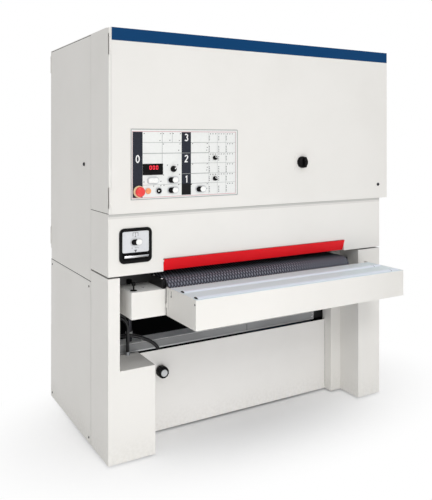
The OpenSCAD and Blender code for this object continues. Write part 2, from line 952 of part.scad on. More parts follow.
module station_panel() {
    inner = station_corner - station_rim;
    color("dimgray") place() translate([station_x, front_step, station_z]) {
        rotate([90, 0, 0]) linear_extrude(station_plate_t) round_plate(station_w, station_h, station_corner);
        rotate([90, 0, 0]) linear_extrude(station_rim_t) difference() {
            round_plate(station_w, station_h, station_corner);
            translate([station_rim, station_rim])
                round_plate(station_w - 2 * station_rim, station_h - 2 * station_rim, inner);
        }
        translate([station_key_share[0] * station_w, -station_plate_t, station_key_share[1] * station_h])
            key_bezel();
        translate([station_w / 2, -station_plate_t, lip_z_share * station_h]) difference() {
            rod_x([-lip_l_share * station_w / 2, lip_l_share * station_w / 2], 0, 0, lip_r);
            rod_x([-station_w, station_w], 0, 0, lip_r - lip_wall);
            span([-station_w, station_w], [-2 * lip_r, 2 * lip_r], [0, 2 * lip_r]);
            span([-station_w, station_w], [over, 2 * lip_r], [-2 * lip_r, 2 * lip_r]);
        }
    }
}

module station_key() {
    color("black") place()
        translate([station_x + station_key_share[0] * station_w, front_step - station_plate_t,
            station_z + station_key_share[1] * station_h])
        rocking_key();
}

// Knob on the front base panel
module panel_knob() {
    y = panel_y - face_gap;
    color("black") place() translate([panel_knob_x, 0, panel_knob_z]) {
        difference() {
            rod_y(0, [y - panel_knob_l, y], 0, panel_knob_r);
            for (i = [0 : knob_flute_count - 1])
                rotate([0, i * 360 / knob_flute_count, 0])
                    rod_y(panel_knob_r + knob_flute_r / 2, [y - panel_knob_l - over, y + over], 0, knob_flute_r);
        }
        rod_y(0, [y - panel_knob_l - knob_cap_t, y - panel_knob_l + over], 0, knob_cap_r_share * panel_knob_r);
        rod_y(0, [y - over, panel_y + sheet + knob_shaft_back], 0, knob_shaft_r);
        rod_y(0, [panel_y + sheet + face_gap, panel_y + sheet + face_gap + clip_t], 0, knob_shaft_r + clip_w);
    }
}

// Screw heads on the side and rear panels
module panel_screws() {
    ys = [front_d + seam + screw_edge, body_d - sheet - screw_edge];
    color("silver") place() {
        for (y = ys, z = [floor_gap + screw_edge, side_door_z - seam - screw_edge])
            rod_x([-screw_head_t, 0], y, z, screw_head_r);
        for (y = ys, z = [floor_gap + screw_edge, door_z - screw_edge])
            rod_x([base_w, base_w + screw_head_t], y, z, screw_head_r);
        for (x = [screw_edge, base_w - screw_edge], z = [floor_gap + screw_edge, rear_panel_h - screw_edge,
            door_z + screw_edge, body_h - sheet - screw_edge])
            rod_y(x, [body_d, body_d + screw_head_t], z, screw_head_r);
    }
}

// Conveyor table
module conveyor_bed() {
    color("dimgray") place() difference() {
        union() {
            for (x = [rail_x1, rail_x2]) {
                rod_x([x, x + rail_t], axis_rear_y, axis_z, conveyor_r);
                span([x, x + rail_t], [axis_front_y - rail_nose, axis_rear_y],
                    [axis_z - conveyor_r, axis_z + conveyor_r]);
                span([x, x + rail_t], rail_drop_y,
                    [axis_z - conveyor_r - rail_drop, axis_z - conveyor_r + over]);
            }
            span([rail_x1 + rail_t - over, rail_x2 + over],
                [axis_front_y + conveyor_r + bed_end_gap, axis_rear_y - conveyor_r - bed_end_gap],
                [axis_z + conveyor_r - bed_t, axis_z + conveyor_r]);
            for (y = screw_ys) {
                z = [bracket_top - bracket_h, bracket_top];
                span([rail_x1 - bracket_reach, rail_x1 + over], [y - bracket_w / 2, y + bracket_w / 2], z);
                span([rail_x2 + rail_t - over, rail_x2 + rail_t + bracket_reach],
                    [y - bracket_w / 2, y + bracket_w / 2], z);
            }
        }
        for (x = [rail_x1, rail_x2], y = [axis_front_y, axis_rear_y])
            rod_x([x - over, x + rail_t + over], y, axis_z, shaft_r + run_fit);
        for (x = screw_xs, y = screw_ys)
            rod_z(x, y, [bracket_top - bracket_h - over, bracket_top + over], screw_r + slide_fit);
    }
}

module conveyor_belt() {
    reach = [axis_rear_y - axis_front_y, 0];
    color("slategray") place() translate([belt_x, axis_front_y, axis_z]) rotate([90, 0, 90])
        linear_extrude(belt_w) difference() {
            loop_outline(table_r, table_r, reach);
            loop_outline(table_r - belt_t, table_r - belt_t, reach);
        }
}

module conveyor_roller(y, stub) {
    place() {
        rod_x([belt_x + roller_end_gap, belt_x + belt_w - roller_end_gap], y, axis_z, conveyor_r);
        rod_x([rail_x1, rail_x2 + rail_t + stub], y, axis_z, shaft_r);
    }
}

module front_roller() {
    color("silver") conveyor_roller(axis_front_y, 0);
}

module rear_roller() {
    color("silver") conveyor_roller(axis_rear_y, drive_stub);
}

module belt_gearmotor() {
    x = rail_x2 + rail_t;
    color("steelblue") place() difference() {
        union() {
            span([x, x + gear_w], [axis_rear_y - gear_d / 2, axis_rear_y + gear_d / 2],
                [axis_z - gear_h / 2, axis_z + gear_h / 2]);
            rod_z(x + gear_w / 2, axis_rear_y, [axis_z - gear_h / 2 - gear_motor_l, axis_z], gear_motor_r);
        }
        rod_x([x - over, x + drive_stub + over], axis_rear_y, axis_z, shaft_r + run_fit);
    }
}

module lift_screws() {
    color("dimgray") place()
        for (x = screw_xs, y = screw_ys)
            rod_z(x, y, [beam_top, screw_top], screw_r);
}

// Infeed table with a slot for each roller, its roller brackets and the ears under the rails
module infeed_table() {
    x = [infeed_x, infeed_x + infeed_w];
    y = [-infeed_reach, -infeed_rear];
    z = [infeed_top - infeed_h, infeed_top];
    low = axis_z - conveyor_r;
    color("whitesmoke") place() difference() {
        union() {
            difference() {
                span(x, y, z);
                span([x[0] + sheet, x[1] - sheet], [y[0] + sheet, y[1] - sheet], [z[0] - over, z[1] - sheet]);
            }
            for (r = [infeed_roller_y1, infeed_roller_y2], b = [x[0] + over, x[1] - over - roller_bracket_t])
                span([b, b + roller_bracket_t], [-r - roller_bracket_w / 2, -r + roller_bracket_w / 2],
                    [roller_axis_z - roller_bracket_w / 2, infeed_top - over]);
            for (e = [x[0], x[1] - sheet])
                span([e, e + sheet], [y[1] - sheet, -infeed_cheek], z);
            span([x[0], x[0] + sheet], [-infeed_cheek - over, ear_front + ear_weld], [low - tongue_h, low]);
            span([rail_x1, rail_x1 + rail_t], [ear_front, ear_l], [low - ear_h, low]);
            span([rail_x2, rail_x2 + rail_t], [y[1] - sheet, ear_l], [low - ear_h, low]);
        }
        for (r = [infeed_roller_y1, infeed_roller_y2]) {
            span([x[0] + roller_inset - slot_end, x[1] - roller_inset + slot_end],
                [-r - slot_half, -r + slot_half], [infeed_top - sheet - over, infeed_top + over]);
            rod_x([x[0] + roller_shaft_end, x[1] - roller_shaft_end], -r, roller_axis_z, roller_shaft_r + run_fit);
        }
    }
}

module infeed_roller(y) {
    x = [infeed_x, infeed_x + infeed_w];
    place() {
        rod_x([x[0] + roller_inset, x[1] - roller_inset], -y, roller_axis_z, infeed_roller_r);
        rod_x([x[0] + roller_shaft_end + face_gap, x[1] - roller_shaft_end - face_gap], -y, roller_axis_z,
            roller_shaft_r);
    }
}

module infeed_roller_1() {
    color("lightsteelblue") infeed_roller(infeed_roller_y1);
}

module infeed_roller_2() {
    color("lightsteelblue") infeed_roller(infeed_roller_y2);
}

module table_end_box() {
    x = [end_box_x, rail_x1];
    z = [end_box_top - end_box_h, end_box_top];
    ear_top = axis_z - conveyor_r;
    color("whitesmoke") place() difference() {
        union() {
            span(x, [-end_box_front, end_box_d], z);
            span([x[1] - over, infeed_x + end_box_lap], [-end_box_front, sheet - end_box_front], z);
        }
        span([x[0] + sheet, x[1] - sheet], [sheet - end_box_front, end_box_d - sheet], [z[0] - over, z[1] - sheet]);
        span([infeed_x - ear_gap, infeed_x + end_box_lap + over],
            [-end_box_front - over, sheet - end_box_front + over], [ear_top - tongue_h - ear_gap, ear_top + ear_gap]);
        rod_z(tension_x, tension_y, [end_box_top - sheet - over, end_box_top + over], tension_stem_r + run_fit);
    }
}

module tension_knob() {
    z = end_box_top + face_gap;
    head_z = z + tension_flange_t + tension_stem_h;
    low = end_box_top - sheet - face_gap;
    color("black") place() {
        rod_z(tension_x, tension_y, [z, z + tension_flange_t], tension_flange_r);
        rod_z(tension_x, tension_y, [low - clip_t, head_z + over], tension_stem_r);
        rod_z(tension_x, tension_y, [head_z, head_z + tension_head_t], tension_head_r);
        rod_z(tension_x, tension_y, [low - clip_t, low], tension_stem_r + clip_w);
    }
}

// Sanding heads
module head_beams() {
    x1 = head_x1 - head_plate_gap - head_plate_t;
    low = contact_z + head_beam_low_share * head_l;
    high = contact_z + head_beam_high_share * head_l;
    color("gray") place() for (y = head_ys) difference() {
        union() {
            span([x1, frame_x], [y - head_half, y + head_half], [low, high]);
            for (x = [x1, head_x2 + head_plate_gap])
                span([x, x + head_plate_t], [y - head_half, y + head_half],
                    [contact_z - head_plate_low, tension_z + head_plate_high]);
        }
        span([x1 - over, frame_x + over], [y - head_half + head_wall, y + head_half - head_wall],
            [low + head_wall, high - head_wall]);
        rod_x([x1 - over, frame_x - over], y, contact_z, contact_shaft_r + run_fit);
        rod_x([x1 - over, frame_x - over], y, tension_z, tension_shaft_r + run_fit);
    }
}

module grooved_pulley(y, z, r) {
    pitch = pulley_w / groove_count;
    difference() {
        rod_x([pulley_x, pulley_x + pulley_w], y, z, r);
        for (i = [0 : groove_count - 1]) {
            x = pulley_x + (i + 1 / 2) * pitch;
            difference() {
                rod_x([x - groove_w / 2, x + groove_w / 2], y, z, r + over);
                rod_x([x - groove_w, x + groove_w], y, z, r - groove_d);
            }
        }
    }
}

module contact_roller(y) {
    place() {
        rod_x([head_x1, head_x2], y, contact_z, contact_r);
        rod_x([head_x1 - head_plate_gap - head_plate_t, pulley_x + pulley_w], y, contact_z, contact_shaft_r);
        grooved_pulley(y, contact_z, pulley_r);
    }
}

module tension_roller(y) {
    end = head_plate_gap + head_plate_t;
    place() {
        rod_x([head_x1, head_x2], y, tension_z, tension_r);
        rod_x([head_x1 - end, head_x2 + end], y, tension_z, tension_shaft_r);
    }
}

module sanding_belt(y) {
    r1 = contact_r + belt_fit;
    r2 = tension_r + belt_fit;
    place() translate([belt_mid_x - sanding_belt_w / 2, y, contact_z]) rotate([90, 0, 90])
        linear_extrude(sanding_belt_w) difference() {
            loop_outline(r1 + grit_t, r2 + grit_t, [0, head_l]);
            loop_outline(r1, r2, [0, head_l]);
        }
}

module contact_roller_1() {
    color("dimgray") contact_roller(head_ys[0]);
}

module contact_roller_2() {
    color("dimgray") contact_roller(head_ys[1]);
}

module tension_roller_1() {
    color("silver") tension_roller(head_ys[0]);
}

module tension_roller_2() {
    color("silver") tension_roller(head_ys[1]);
}

module sanding_belt_1() {
    color("peru") sanding_belt(head_ys[0]);
}

module sanding_belt_2() {
    color("peru") sanding_belt(head_ys[1]);
}

module main_motor() {
    fin_x = [frame_x - motor_l + motor_fin_inset, frame_x - motor_fin_inset];
    color("steelblue") place() difference() {
        union() {
            rod_x([frame_x - motor_l, frame_x], motor_y, motor_z, motor_r);
            rod_x([frame_x - motor_flange_t, frame_x], motor_y, motor_z, motor_flange_r);
            translate([0, motor_y, motor_z]) for (i = [0 : motor_fin_count - 1])
                rotate([i * 360 / motor_fin_count, 0, 0])
                    span(fin_x, [-motor_fin_t / 2, motor_fin_t / 2], [motor_r - over, motor_r + motor_fin_h]);
        }
        rod_x([frame_x - motor_bore_l, frame_x + over], motor_y, motor_z, motor_shaft_r + run_fit);
    }
}

module motor_pulley() {
    color("dimgray") place() {
        rod_x([frame_x - motor_bore_l + face_gap, pulley_x + pulley_w], motor_y, motor_z, motor_shaft_r);
        grooved_pulley(motor_y, motor_z, motor_pulley_r);
    }
}

// Outline of a drive belt round the motor pulley and both contact roller pulleys
module drive_outline(out) {
    hull() {
        translate([motor_y, motor_z]) circle(motor_pulley_r - groove_d + belt_fit + out);
        for (y = head_ys) translate([y, contact_z]) circle(pulley_r - groove_d + belt_fit + out);
    }
}

module drive_belts() {
    pitch = pulley_w / groove_count;
    color("black") place() for (i = [0 : groove_count - 1])
        translate([pulley_x + (i + 1 / 2) * pitch - drive_belt_w / 2, 0, 0]) rotate([90, 0, 90])
            linear_extrude(drive_belt_w) difference() {
                drive_outline(drive_belt_t);
                drive_outline(0);
            }
}

module pressure_bars() {
    color("silver") place() for (y = bar_ys)
        span([head_x1, frame_x], [y - bar_w / 2, y + bar_w / 2], [sand_z + bar_gap, sand_z + bar_gap + bar_h]);
}

module dust_manifold() {
    z = [sand_z + plenum_low, sand_z + plenum_low + plenum_h];
    y = [motor_y - plenum_w / 2, motor_y + plenum_w / 2];
    color("gainsboro") place() difference() {
        union() {
            span([head_x1, head_x2], y, z);
            for (s = spigot_shares) {
                x = head_x1 + s * (head_x2 - head_x1);
                rod_z(x, motor_y, [z[1] - sheet, body_h + over], duct_r);
                rod_z(x, motor_y, [body_h, body_h + spigot_h], spigot_r);
            }
        }
        span([head_x1 + sheet, head_x2 - sheet], [y[0] + sheet, y[1] - sheet], [z[0] - over, z[1] - sheet]);
        for (s = spigot_shares)
            rod_z(head_x1 + s * (head_x2 - head_x1), motor_y, [z[1] - sheet - over, body_h + spigot_h + over],
                duct_r - spigot_wall);
    }
}

// Air hoses: a round tube swept along a route, with a fitting at each end
function unit(v) = v / norm(v);
function heading(p, i) = unit(p[min(i + 1, len(p) - 1)] - p[max(i - 1, 0)]);

module swept_tube(p, side, r, n) {
    rings = [for (i = [0 : len(p) - 1]) let (t = heading(p, i), u = unit(cross(side, t)), v = cross(t, u))
        for (k = [0 : n - 1]) p[i] + r * (cos(k * 360 / n) * u + sin(k * 360 / n) * v)];
    last = (len(p) - 1) * n;
    faces = concat(
        [for (i = [0 : len(p) - 2], k = [0 : n - 1]) [(i + 1) * n + (k + 1) % n, i * n + (k + 1) % n, i * n + k]],
        [for (i = [0 : len(p) - 2], k = [0 : n - 1]) [(i + 1) * n + k, (i + 1) * n + (k + 1) % n, i * n + k]],
        [for (k = [1 : n - 2]) [0, k, k + 1]],
        [for (k = [1 : n - 2]) [last, last + k + 1, last + k]]);
    polyhedron(points = rings, faces = faces);
}

module air_hose() {
    a = [hose_a[0], hose_a[len(hose_a) - 1]];
    b = [hose_b[0], hose_b[len(hose_b) - 1]];
    back = panel_y + sheet;
    color("black") place() {
        swept_tube(hose_a, hose_side, hose_r, hose_sides);
        swept_tube(hose_b, hose_side, hose_r, hose_sides);
        rod_x([left_post_w, a[0][0] + over], a[0][1], a[0][2], hose_fitting_r);
        rod_z(a[1][0], a[1][1], [left_foot_h, a[1][2] + over], hose_fitting_r);
        rod_x([sheet + pedestal_w, b[0][0] + over], b[0][1], b[0][2], hose_fitting_r);
        span([b[1][0] - hose_fitting_r, b[1][0] + hose_fitting_r], [back, b[1][1] + hose_fitting_r],
            [b[1][2] - hose_block_h, b[1][2] + over]);
    }
}

levelling_feet();
left_pedestal();
right_frame();
cross_beams();
left_base_cover();
right_base_cover();
front_base_panel();
left_lower_panel();
right_lower_panel();
right_upper_panel();
rear_upper_panel();
rear_lower_panel();
top_cover();
cabinet_shell();
switchgear();
apron();
station_panel();
head_beams();
main_motor();
drive_belts();
dust_manifold();
lift_screws();
air_hose();
panel_screws();
pressure_bars();
front_door();
control_fascia();
emergency_stop();
thickness_rocker();
mode_selector();
twin_key_1();
twin_key_2();
twin_key_3();
reset_button();
selector_2();
selector_3();
main_switch();
door_lock();
side_door();
side_lock();
guard_bar();
panel_knob();
station_key();
conveyor_bed();
conveyor_belt();
front_roller();
rear_roller();
belt_gearmotor();
infeed_table();
infeed_roller_1();
infeed_roller_2();
table_end_box();
tension_knob();
contact_roller_1();
contact_roller_2();
tension_roller_1();
tension_roller_2();
sanding_belt_1();
sanding_belt_2();
motor_pulley();
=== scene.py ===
"""Looks of a wide belt sander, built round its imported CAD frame.

The frame gives every node's place. This script paints the nodes with procedural
materials, replaces the small controls with finer pieces, and sets the camera,
the floor and a soft studio light. Places are written in millimetres from the
cabinet's left front corner on the floor, as in the part's source.
"""

import logging
import math
from dataclasses import dataclass, field
from enum import Enum
from typing import Callable, Dict, List, Optional, Sequence, Tuple

import bmesh
import bpy
from mathutils import Matrix, Vector


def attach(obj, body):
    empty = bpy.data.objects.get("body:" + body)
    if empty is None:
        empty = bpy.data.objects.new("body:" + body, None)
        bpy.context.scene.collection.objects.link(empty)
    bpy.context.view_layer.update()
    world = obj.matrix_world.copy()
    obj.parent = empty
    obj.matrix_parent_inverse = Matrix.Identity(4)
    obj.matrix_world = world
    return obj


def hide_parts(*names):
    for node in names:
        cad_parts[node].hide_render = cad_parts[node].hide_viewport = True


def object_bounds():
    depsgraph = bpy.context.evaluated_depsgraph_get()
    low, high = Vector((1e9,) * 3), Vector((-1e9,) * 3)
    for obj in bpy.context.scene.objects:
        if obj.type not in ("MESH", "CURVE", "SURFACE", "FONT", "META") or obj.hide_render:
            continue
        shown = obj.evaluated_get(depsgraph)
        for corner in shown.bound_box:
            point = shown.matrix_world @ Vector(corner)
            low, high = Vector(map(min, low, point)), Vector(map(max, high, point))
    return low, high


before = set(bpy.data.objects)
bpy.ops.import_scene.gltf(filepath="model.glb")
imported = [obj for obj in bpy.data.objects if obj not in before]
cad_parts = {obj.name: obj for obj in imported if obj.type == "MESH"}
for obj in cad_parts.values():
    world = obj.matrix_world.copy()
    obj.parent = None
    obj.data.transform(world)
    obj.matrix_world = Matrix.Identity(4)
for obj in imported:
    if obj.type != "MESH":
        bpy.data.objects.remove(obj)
CAD_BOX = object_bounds()

LOG = logging.getLogger("sander")
logging.basicConfig(level=logging.INFO, format="%(name)s: %(message)s")

Vec3 = Tuple[float, float, float]
Spot = Tuple[float, float]
Colour = Tuple[float, float, float]

ORIGIN_X = 883.0
ORIGIN_Y = 355.0
MM = 0.001
SHARP_EDGE = math.radians(42)
EDGE_STEPS = 3
PRINT_STEP = 0.004
PRINT_LEVELS = 60


def place(x: float, y: float, z: float) -> Vector:
    """Turns corner measures in millimetres into a point of the part's frame.

    Args:
        x: distance from the cabinet's left side.
        y: distance behind the door's face.
        z: height above the floor.

    Returns:
        The point in metres.
    """
    return Vector(((x - ORIGIN_X) * MM, (y - ORIGIN_Y) * MM, z * MM))


def srgb(r: float, g: float, b: float) -> Colour:
    """Turns a display colour of 0 to 255 into linear values.

    Args:
        r: red.
        g: green.
        b: blue.

    Returns:
        The linear colour.
    """
    def linear(v: float) -> float:
        """Turns one channel into its linear value."""
        v = v / 255
        return v / 12.92 if v <= 0.04045 else ((v + 0.055) / 1.055) ** 2.4

    return (linear(r), linear(g), linear(b))


def opaque(colour: Colour) -> Tuple[float, float, float, float]:
    """Gives a colour its full alpha."""
    return (*colour, 1.0)


def scaled(colour: Colour, share: float) -> Colour:
    """Gives a lighter or darker tone of a colour, up to white."""
    return tuple(min(1.0, c * share) for c in colour)


class Body(str, Enum):
    """CAD bodies that pieces ride on."""

    FRAME = "machine_frame"
    DOOR = "door"
    TABLE = "table"


class Tree:
    """Shorthand for a shader or geometry node tree."""

    def __init__(self, tree: bpy.types.NodeTree) -> None:
        """Takes the tree that nodes are added to."""
        self.tree = tree

    def add(self, kind: str, inputs: Optional[Dict[str, object]] = None, **props: object) -> bpy.types.Node:
        """Adds a node.

        Args:
            kind: the node's type name.
            inputs: values or output sockets, by the name or index of the input.
            **props: attributes of the node.

        Returns:
            The new node.
        """
        node = self.tree.nodes.new(kind)
        for key, value in props.items():
            setattr(node, key, value)
        for key, value in (inputs or {}).items():
            self.feed(node.inputs[key], value)
        return node

    def feed(self, socket: bpy.types.NodeSocket, value: object) -> None:
        """Gives an input its value or its link.

        Args:
            socket: the input.
            value: a value or an output socket.
        """
        if isinstance(value, bpy.types.NodeSocket):
            self.link(value, socket)
        else:
            socket.default_value = value

    def link(self, start: bpy.types.NodeSocket, end: bpy.types.NodeSocket) -> None:
        """Links an output socket to an input socket."""
        self.tree.links.new(start, end)

    def math(self, operation: str, a: object, b: object = 0.0, clamp: bool = False) -> bpy.types.NodeSocket:
        """Adds a math node.

        Args:
            operation: the node's operation.
            a: first value or socket.
            b: second value or socket.
            clamp: whether the result is kept between 0 and 1.

        Returns:
            The result's socket.
        """
        return self.add("ShaderNodeMath", {0: a, 1: b}, operation=operation, use_clamp=clamp).outputs[0]

    def mix(self, factor: object, a: object, b: object) -> bpy.types.NodeSocket:
        """Mixes two colours.

        Args:
            factor: share of the second colour.
            a: first colour, as three numbers or a socket.
            b: second colour.

        Returns:
            The mixed colour's socket.
        """
        node = self.add("ShaderNodeMix", data_type="RGBA")
        for socket, value in ((node.inputs[0], factor), (node.inputs[6], a), (node.inputs[7], b)):
            self.feed(socket, opaque(value) if isinstance(value, tuple) else value)
        return node.outputs[2]

    def coords(self) -> bpy.types.NodeSocket:
        """Gives the object coordinates."""
        return self.add("ShaderNodeTexCoord").outputs["Object"]

    def noise(self, coords: bpy.types.NodeSocket, scale: object, detail: float = 2.0,
              roughness: float = 0.5) -> bpy.types.NodeSocket:
        """Adds a noise texture.

        Args:
            coords: where it is read.
            scale: its scale, as a value or a socket.
            detail: number of finer layers.
            roughness: weight of the finer layers.

        Returns:
            The noise's socket.
        """
        return self.add("ShaderNodeTexNoise", {
            "Vector": coords, "Scale": scale, "Detail": detail, "Roughness": roughness}).outputs[0]

    def bump(self, strength: object, distance: float, height: bpy.types.NodeSocket) -> bpy.types.NodeSocket:
        """Turns a height into a normal.

        Args:
            strength: share of the effect, as a value or a socket.
            distance: height of a full step in metres.
            height: the height's socket.

        Returns:
            The normal's socket.
        """
        return self.add("ShaderNodeBump", {
            "Strength": strength, "Distance": distance, "Height": height}).outputs[0]

    def seen(self) -> bpy.types.NodeSocket:
        """Gives 1 for the rays of the camera, of mirrors and of glass, and 0 for the light's own.

        Returns:
            The result's socket.
        """
        path = self.add("ShaderNodeLightPath").outputs
        return self.math("MAXIMUM", path["Is Camera Ray"],
                         self.math("MAXIMUM", path["Is Glossy Ray"], path["Is Transmission Ray"]))

    def ramp(self, value: object, low: float, high: float) -> bpy.types.NodeSocket:
        """Maps a value's stretch between two limits to 0 to 1, smoothly.

        Args:
            value: the socket that is mapped.
            low: value that gives 0.
            high: value that gives 1.

        Returns:
            The result's socket.
        """
        node = self.add("ShaderNodeMapRange", {0: value, 1: low, 2: high}, interpolation_type="SMOOTHSTEP")
        return node.outputs[0]

    def stretch(self, vector: bpy.types.NodeSocket, factors: object) -> bpy.types.NodeSocket:
        """Multiplies a vector by another, part by part.

        Args:
            vector: the vector's socket.
            factors: the other one, as three numbers or a socket.

        Returns:
            The result's socket.
        """
        return self.add("ShaderNodeVectorMath", {0: vector, 1: factors}, operation="MULTIPLY").outputs[0]

    def group(self, group: bpy.types.NodeTree, inputs: Dict[str, object]) -> bpy.types.NodeOutputs:
        """Places a shared node group.

        Args:
            group: the group.
            inputs: values or output sockets, by the name of the input.

        Returns:
            The group's outputs.
        """
        return self.add("ShaderNodeGroup", inputs, node_tree=group).outputs


def shader_group(name: str, inputs: Sequence[Tuple[str, str, object]], outputs: Sequence[Tuple[str, str]],
                 build: Callable[[Tree, bpy.types.Node, bpy.types.Node], None]) -> bpy.types.NodeTree:
    """Makes a shared shader node group.

    Args:
        name: the group's name.
        inputs: name, socket type and start value of each input.
        outputs: name and socket type of each output.
        build: fills the group, given its tree and its input and output nodes.

    Returns:
        The group.
    """
    group = bpy.data.node_groups.new(name, "ShaderNodeTree")
    for label, kind, start in inputs:
        socket = group.interface.new_socket(label, in_out="INPUT", socket_type=kind)
        if start is not None:
            socket.default_value = start
    for label, kind in outputs:
        group.interface.new_socket(label, in_out="OUTPUT", socket_type=kind)
    tree = Tree(group)
    build(tree, tree.add("NodeGroupInput"), tree.add("NodeGroupOutput"))
    return group


def build_peel(tree: Tree, given: bpy.types.Node, out: bpy.types.Node) -> None:
    """Fills the group that gives powder coat its fine peel.

    Args:
        tree: the group's tree.
        given: its input node.
        out: its output node.
    """
    coords = tree.coords()
    fine = tree.noise(coords, given.outputs["Scale"], 3.0)
    normal = tree.bump(given.outputs["Strength"], distance=0.0004, height=fine)
    tree.link(normal, out.inputs["Normal"])


def build_grime(tree: Tree, given: bpy.types.Node, out: bpy.types.Node) -> None:
    """Fills the group that clouds a colour and gathers dust near the floor.

    Args:
        tree: the group's tree.
        given: its input node.
        out: its output node.
    """
    coords = tree.coords()
    cloud = tree.noise(coords, 2.6, 5.0, roughness=0.55)
    fine = tree.noise(coords, 60.0, 4.0)
    height = tree.add("ShaderNodeSeparateXYZ", {0: coords}).outputs[2]
    low = tree.math("MULTIPLY", tree.ramp(height, 0.16, 0.0), tree.ramp(fine, 0.3, 0.7))
    spread = tree.math("MULTIPLY", tree.ramp(cloud, 0.35, 0.75), given.outputs["Amount"])
    dust = tree.math("MULTIPLY", low, given.outputs["Floor dust"])
    mask = tree.math("ADD", spread, dust, clamp=True)
    mixed = tree.mix(mask, given.outputs["Colour"], given.outputs["Dirt"])
    tree.link(mixed, out.inputs["Colour"])
    tree.link(mask, out.inputs["Mask"])


def build_box_mask(tree: Tree, given: bpy.types.Node, out: bpy.types.Node) -> None:
    """Fills the group that is 1 inside a box of object space and 0 outside.

    Args:
        tree: the group's tree.
        given: its input node.
        out: its output node.
    """
    coords = tree.coords()
    spot = tree.add("ShaderNodeSeparateXYZ", {0: coords})
    low = tree.add("ShaderNodeSeparateXYZ", {0: given.outputs["Low"]})
    high = tree.add("ShaderNodeSeparateXYZ", {0: given.outputs["High"]})
    mask: object = 1.0
    for i in range(3):
        above = tree.math("GREATER_THAN", spot.outputs[i], low.outputs[i])
        below = tree.math("LESS_THAN", spot.outputs[i], high.outputs[i])
        mask = tree.math("MULTIPLY", mask, tree.math("MULTIPLY", above, below))
    tree.link(mask, out.inputs["Mask"])


def build_lattice(tree: Tree, given: bpy.types.Node, out: bpy.types.Node) -> None:
    """Fills the group that gives a belt its raised diamond pattern.

    Args:
        tree: the group's tree.
        given: its input node.
        out: its output node.
    """
    coords = tree.coords()
    spot = tree.add("ShaderNodeSeparateXYZ", {0: coords})
    along = tree.math("MULTIPLY", tree.math("ADD", spot.outputs[1], spot.outputs[2]), given.outputs["Slant"])
    height: Optional[bpy.types.NodeSocket] = None
    for sign in (1.0, -1.0):
        turn = tree.math("ADD", spot.outputs[0], tree.math("MULTIPLY", along, sign))
        wave = tree.math("SINE", tree.math("MULTIPLY", turn, given.outputs["Pitch"]))
        ridge = tree.ramp(tree.math("ABSOLUTE", wave), 0.25, 0.85)
        height = ridge if height is None else tree.math("MULTIPLY", height, ridge)
    tree.link(height, out.inputs["Mask"])
    normal = tree.bump(given.outputs["Strength"], distance=0.002, height=height)
    tree.link(normal, out.inputs["Normal"])


def build_brushed(tree: Tree, given: bpy.types.Node, out: bpy.types.Node) -> None:
    """Fills the group that draws fine machining lines along X or round it.

    Args:
        tree: the group's tree.
        given: its input node.
        out: its output node.
    """
    coords = tree.coords()
    lines = tree.noise(tree.stretch(coords, given.outputs["Stretch"]), 1.0, 4.0)
    mask = tree.ramp(lines, 0.3, 0.7)
    tree.link(mask, out.inputs["Mask"])
    normal = tree.bump(given.outputs["Strength"], distance=0.0002, height=mask)
    tree.link(normal, out.inputs["Normal"])


FLOAT, VECTOR, COLOUR = "NodeSocketFloat", "NodeSocketVector", "NodeSocketColor"
PEEL = shader_group(
    "fine_peel", [("Scale", FLOAT, 900.0), ("Strength", FLOAT, 0.1)], [("Normal", VECTOR)], build_peel)
GRIME = shader_group(
    "clouding",
    [("Colour", COLOUR, None), ("Dirt", COLOUR, None), ("Amount", FLOAT, 0.1), ("Floor dust", FLOAT, 0.2)],
    [("Colour", COLOUR), ("Mask", FLOAT)], build_grime)
BOX_MASK = shader_group(
    "box_mask", [("Low", VECTOR, None), ("High", VECTOR, None)], [("Mask", FLOAT)], build_box_mask)
LATTICE = shader_group(
    "belt_lattice", [("Pitch", FLOAT, 190.0), ("Slant", FLOAT, 0.3), ("Strength", FLOAT, 0.6)],
    [("Mask", FLOAT), ("Normal", VECTOR)], build_lattice)
BRUSHED = shader_group(
    "machining_lines", [("Stretch", VECTOR, (4.0, 900.0, 900.0)), ("Strength", FLOAT, 0.2)],
    [("Mask", FLOAT), ("Normal", VECTOR)], build_brushed)


Zone = Tuple[Vec3, Vec3, Colour]


def zone(x: Spot, y: Spot, z: Spot, colour: Colour) -> Zone:
    """Describes a box of the part that has its own paint, painted shade or painted light.

    Args:
        x: limits in corner millimetres.
        y: limits in corner millimetres.
        z: limits in corner millimetres.
        colour: the linear colour inside it.

    Returns:
        The box's corners in metres and its colour.
    """
    return (tuple(place(x[0], y[0], z[0])), tuple(place(x[1], y[1], z[1])), colour)


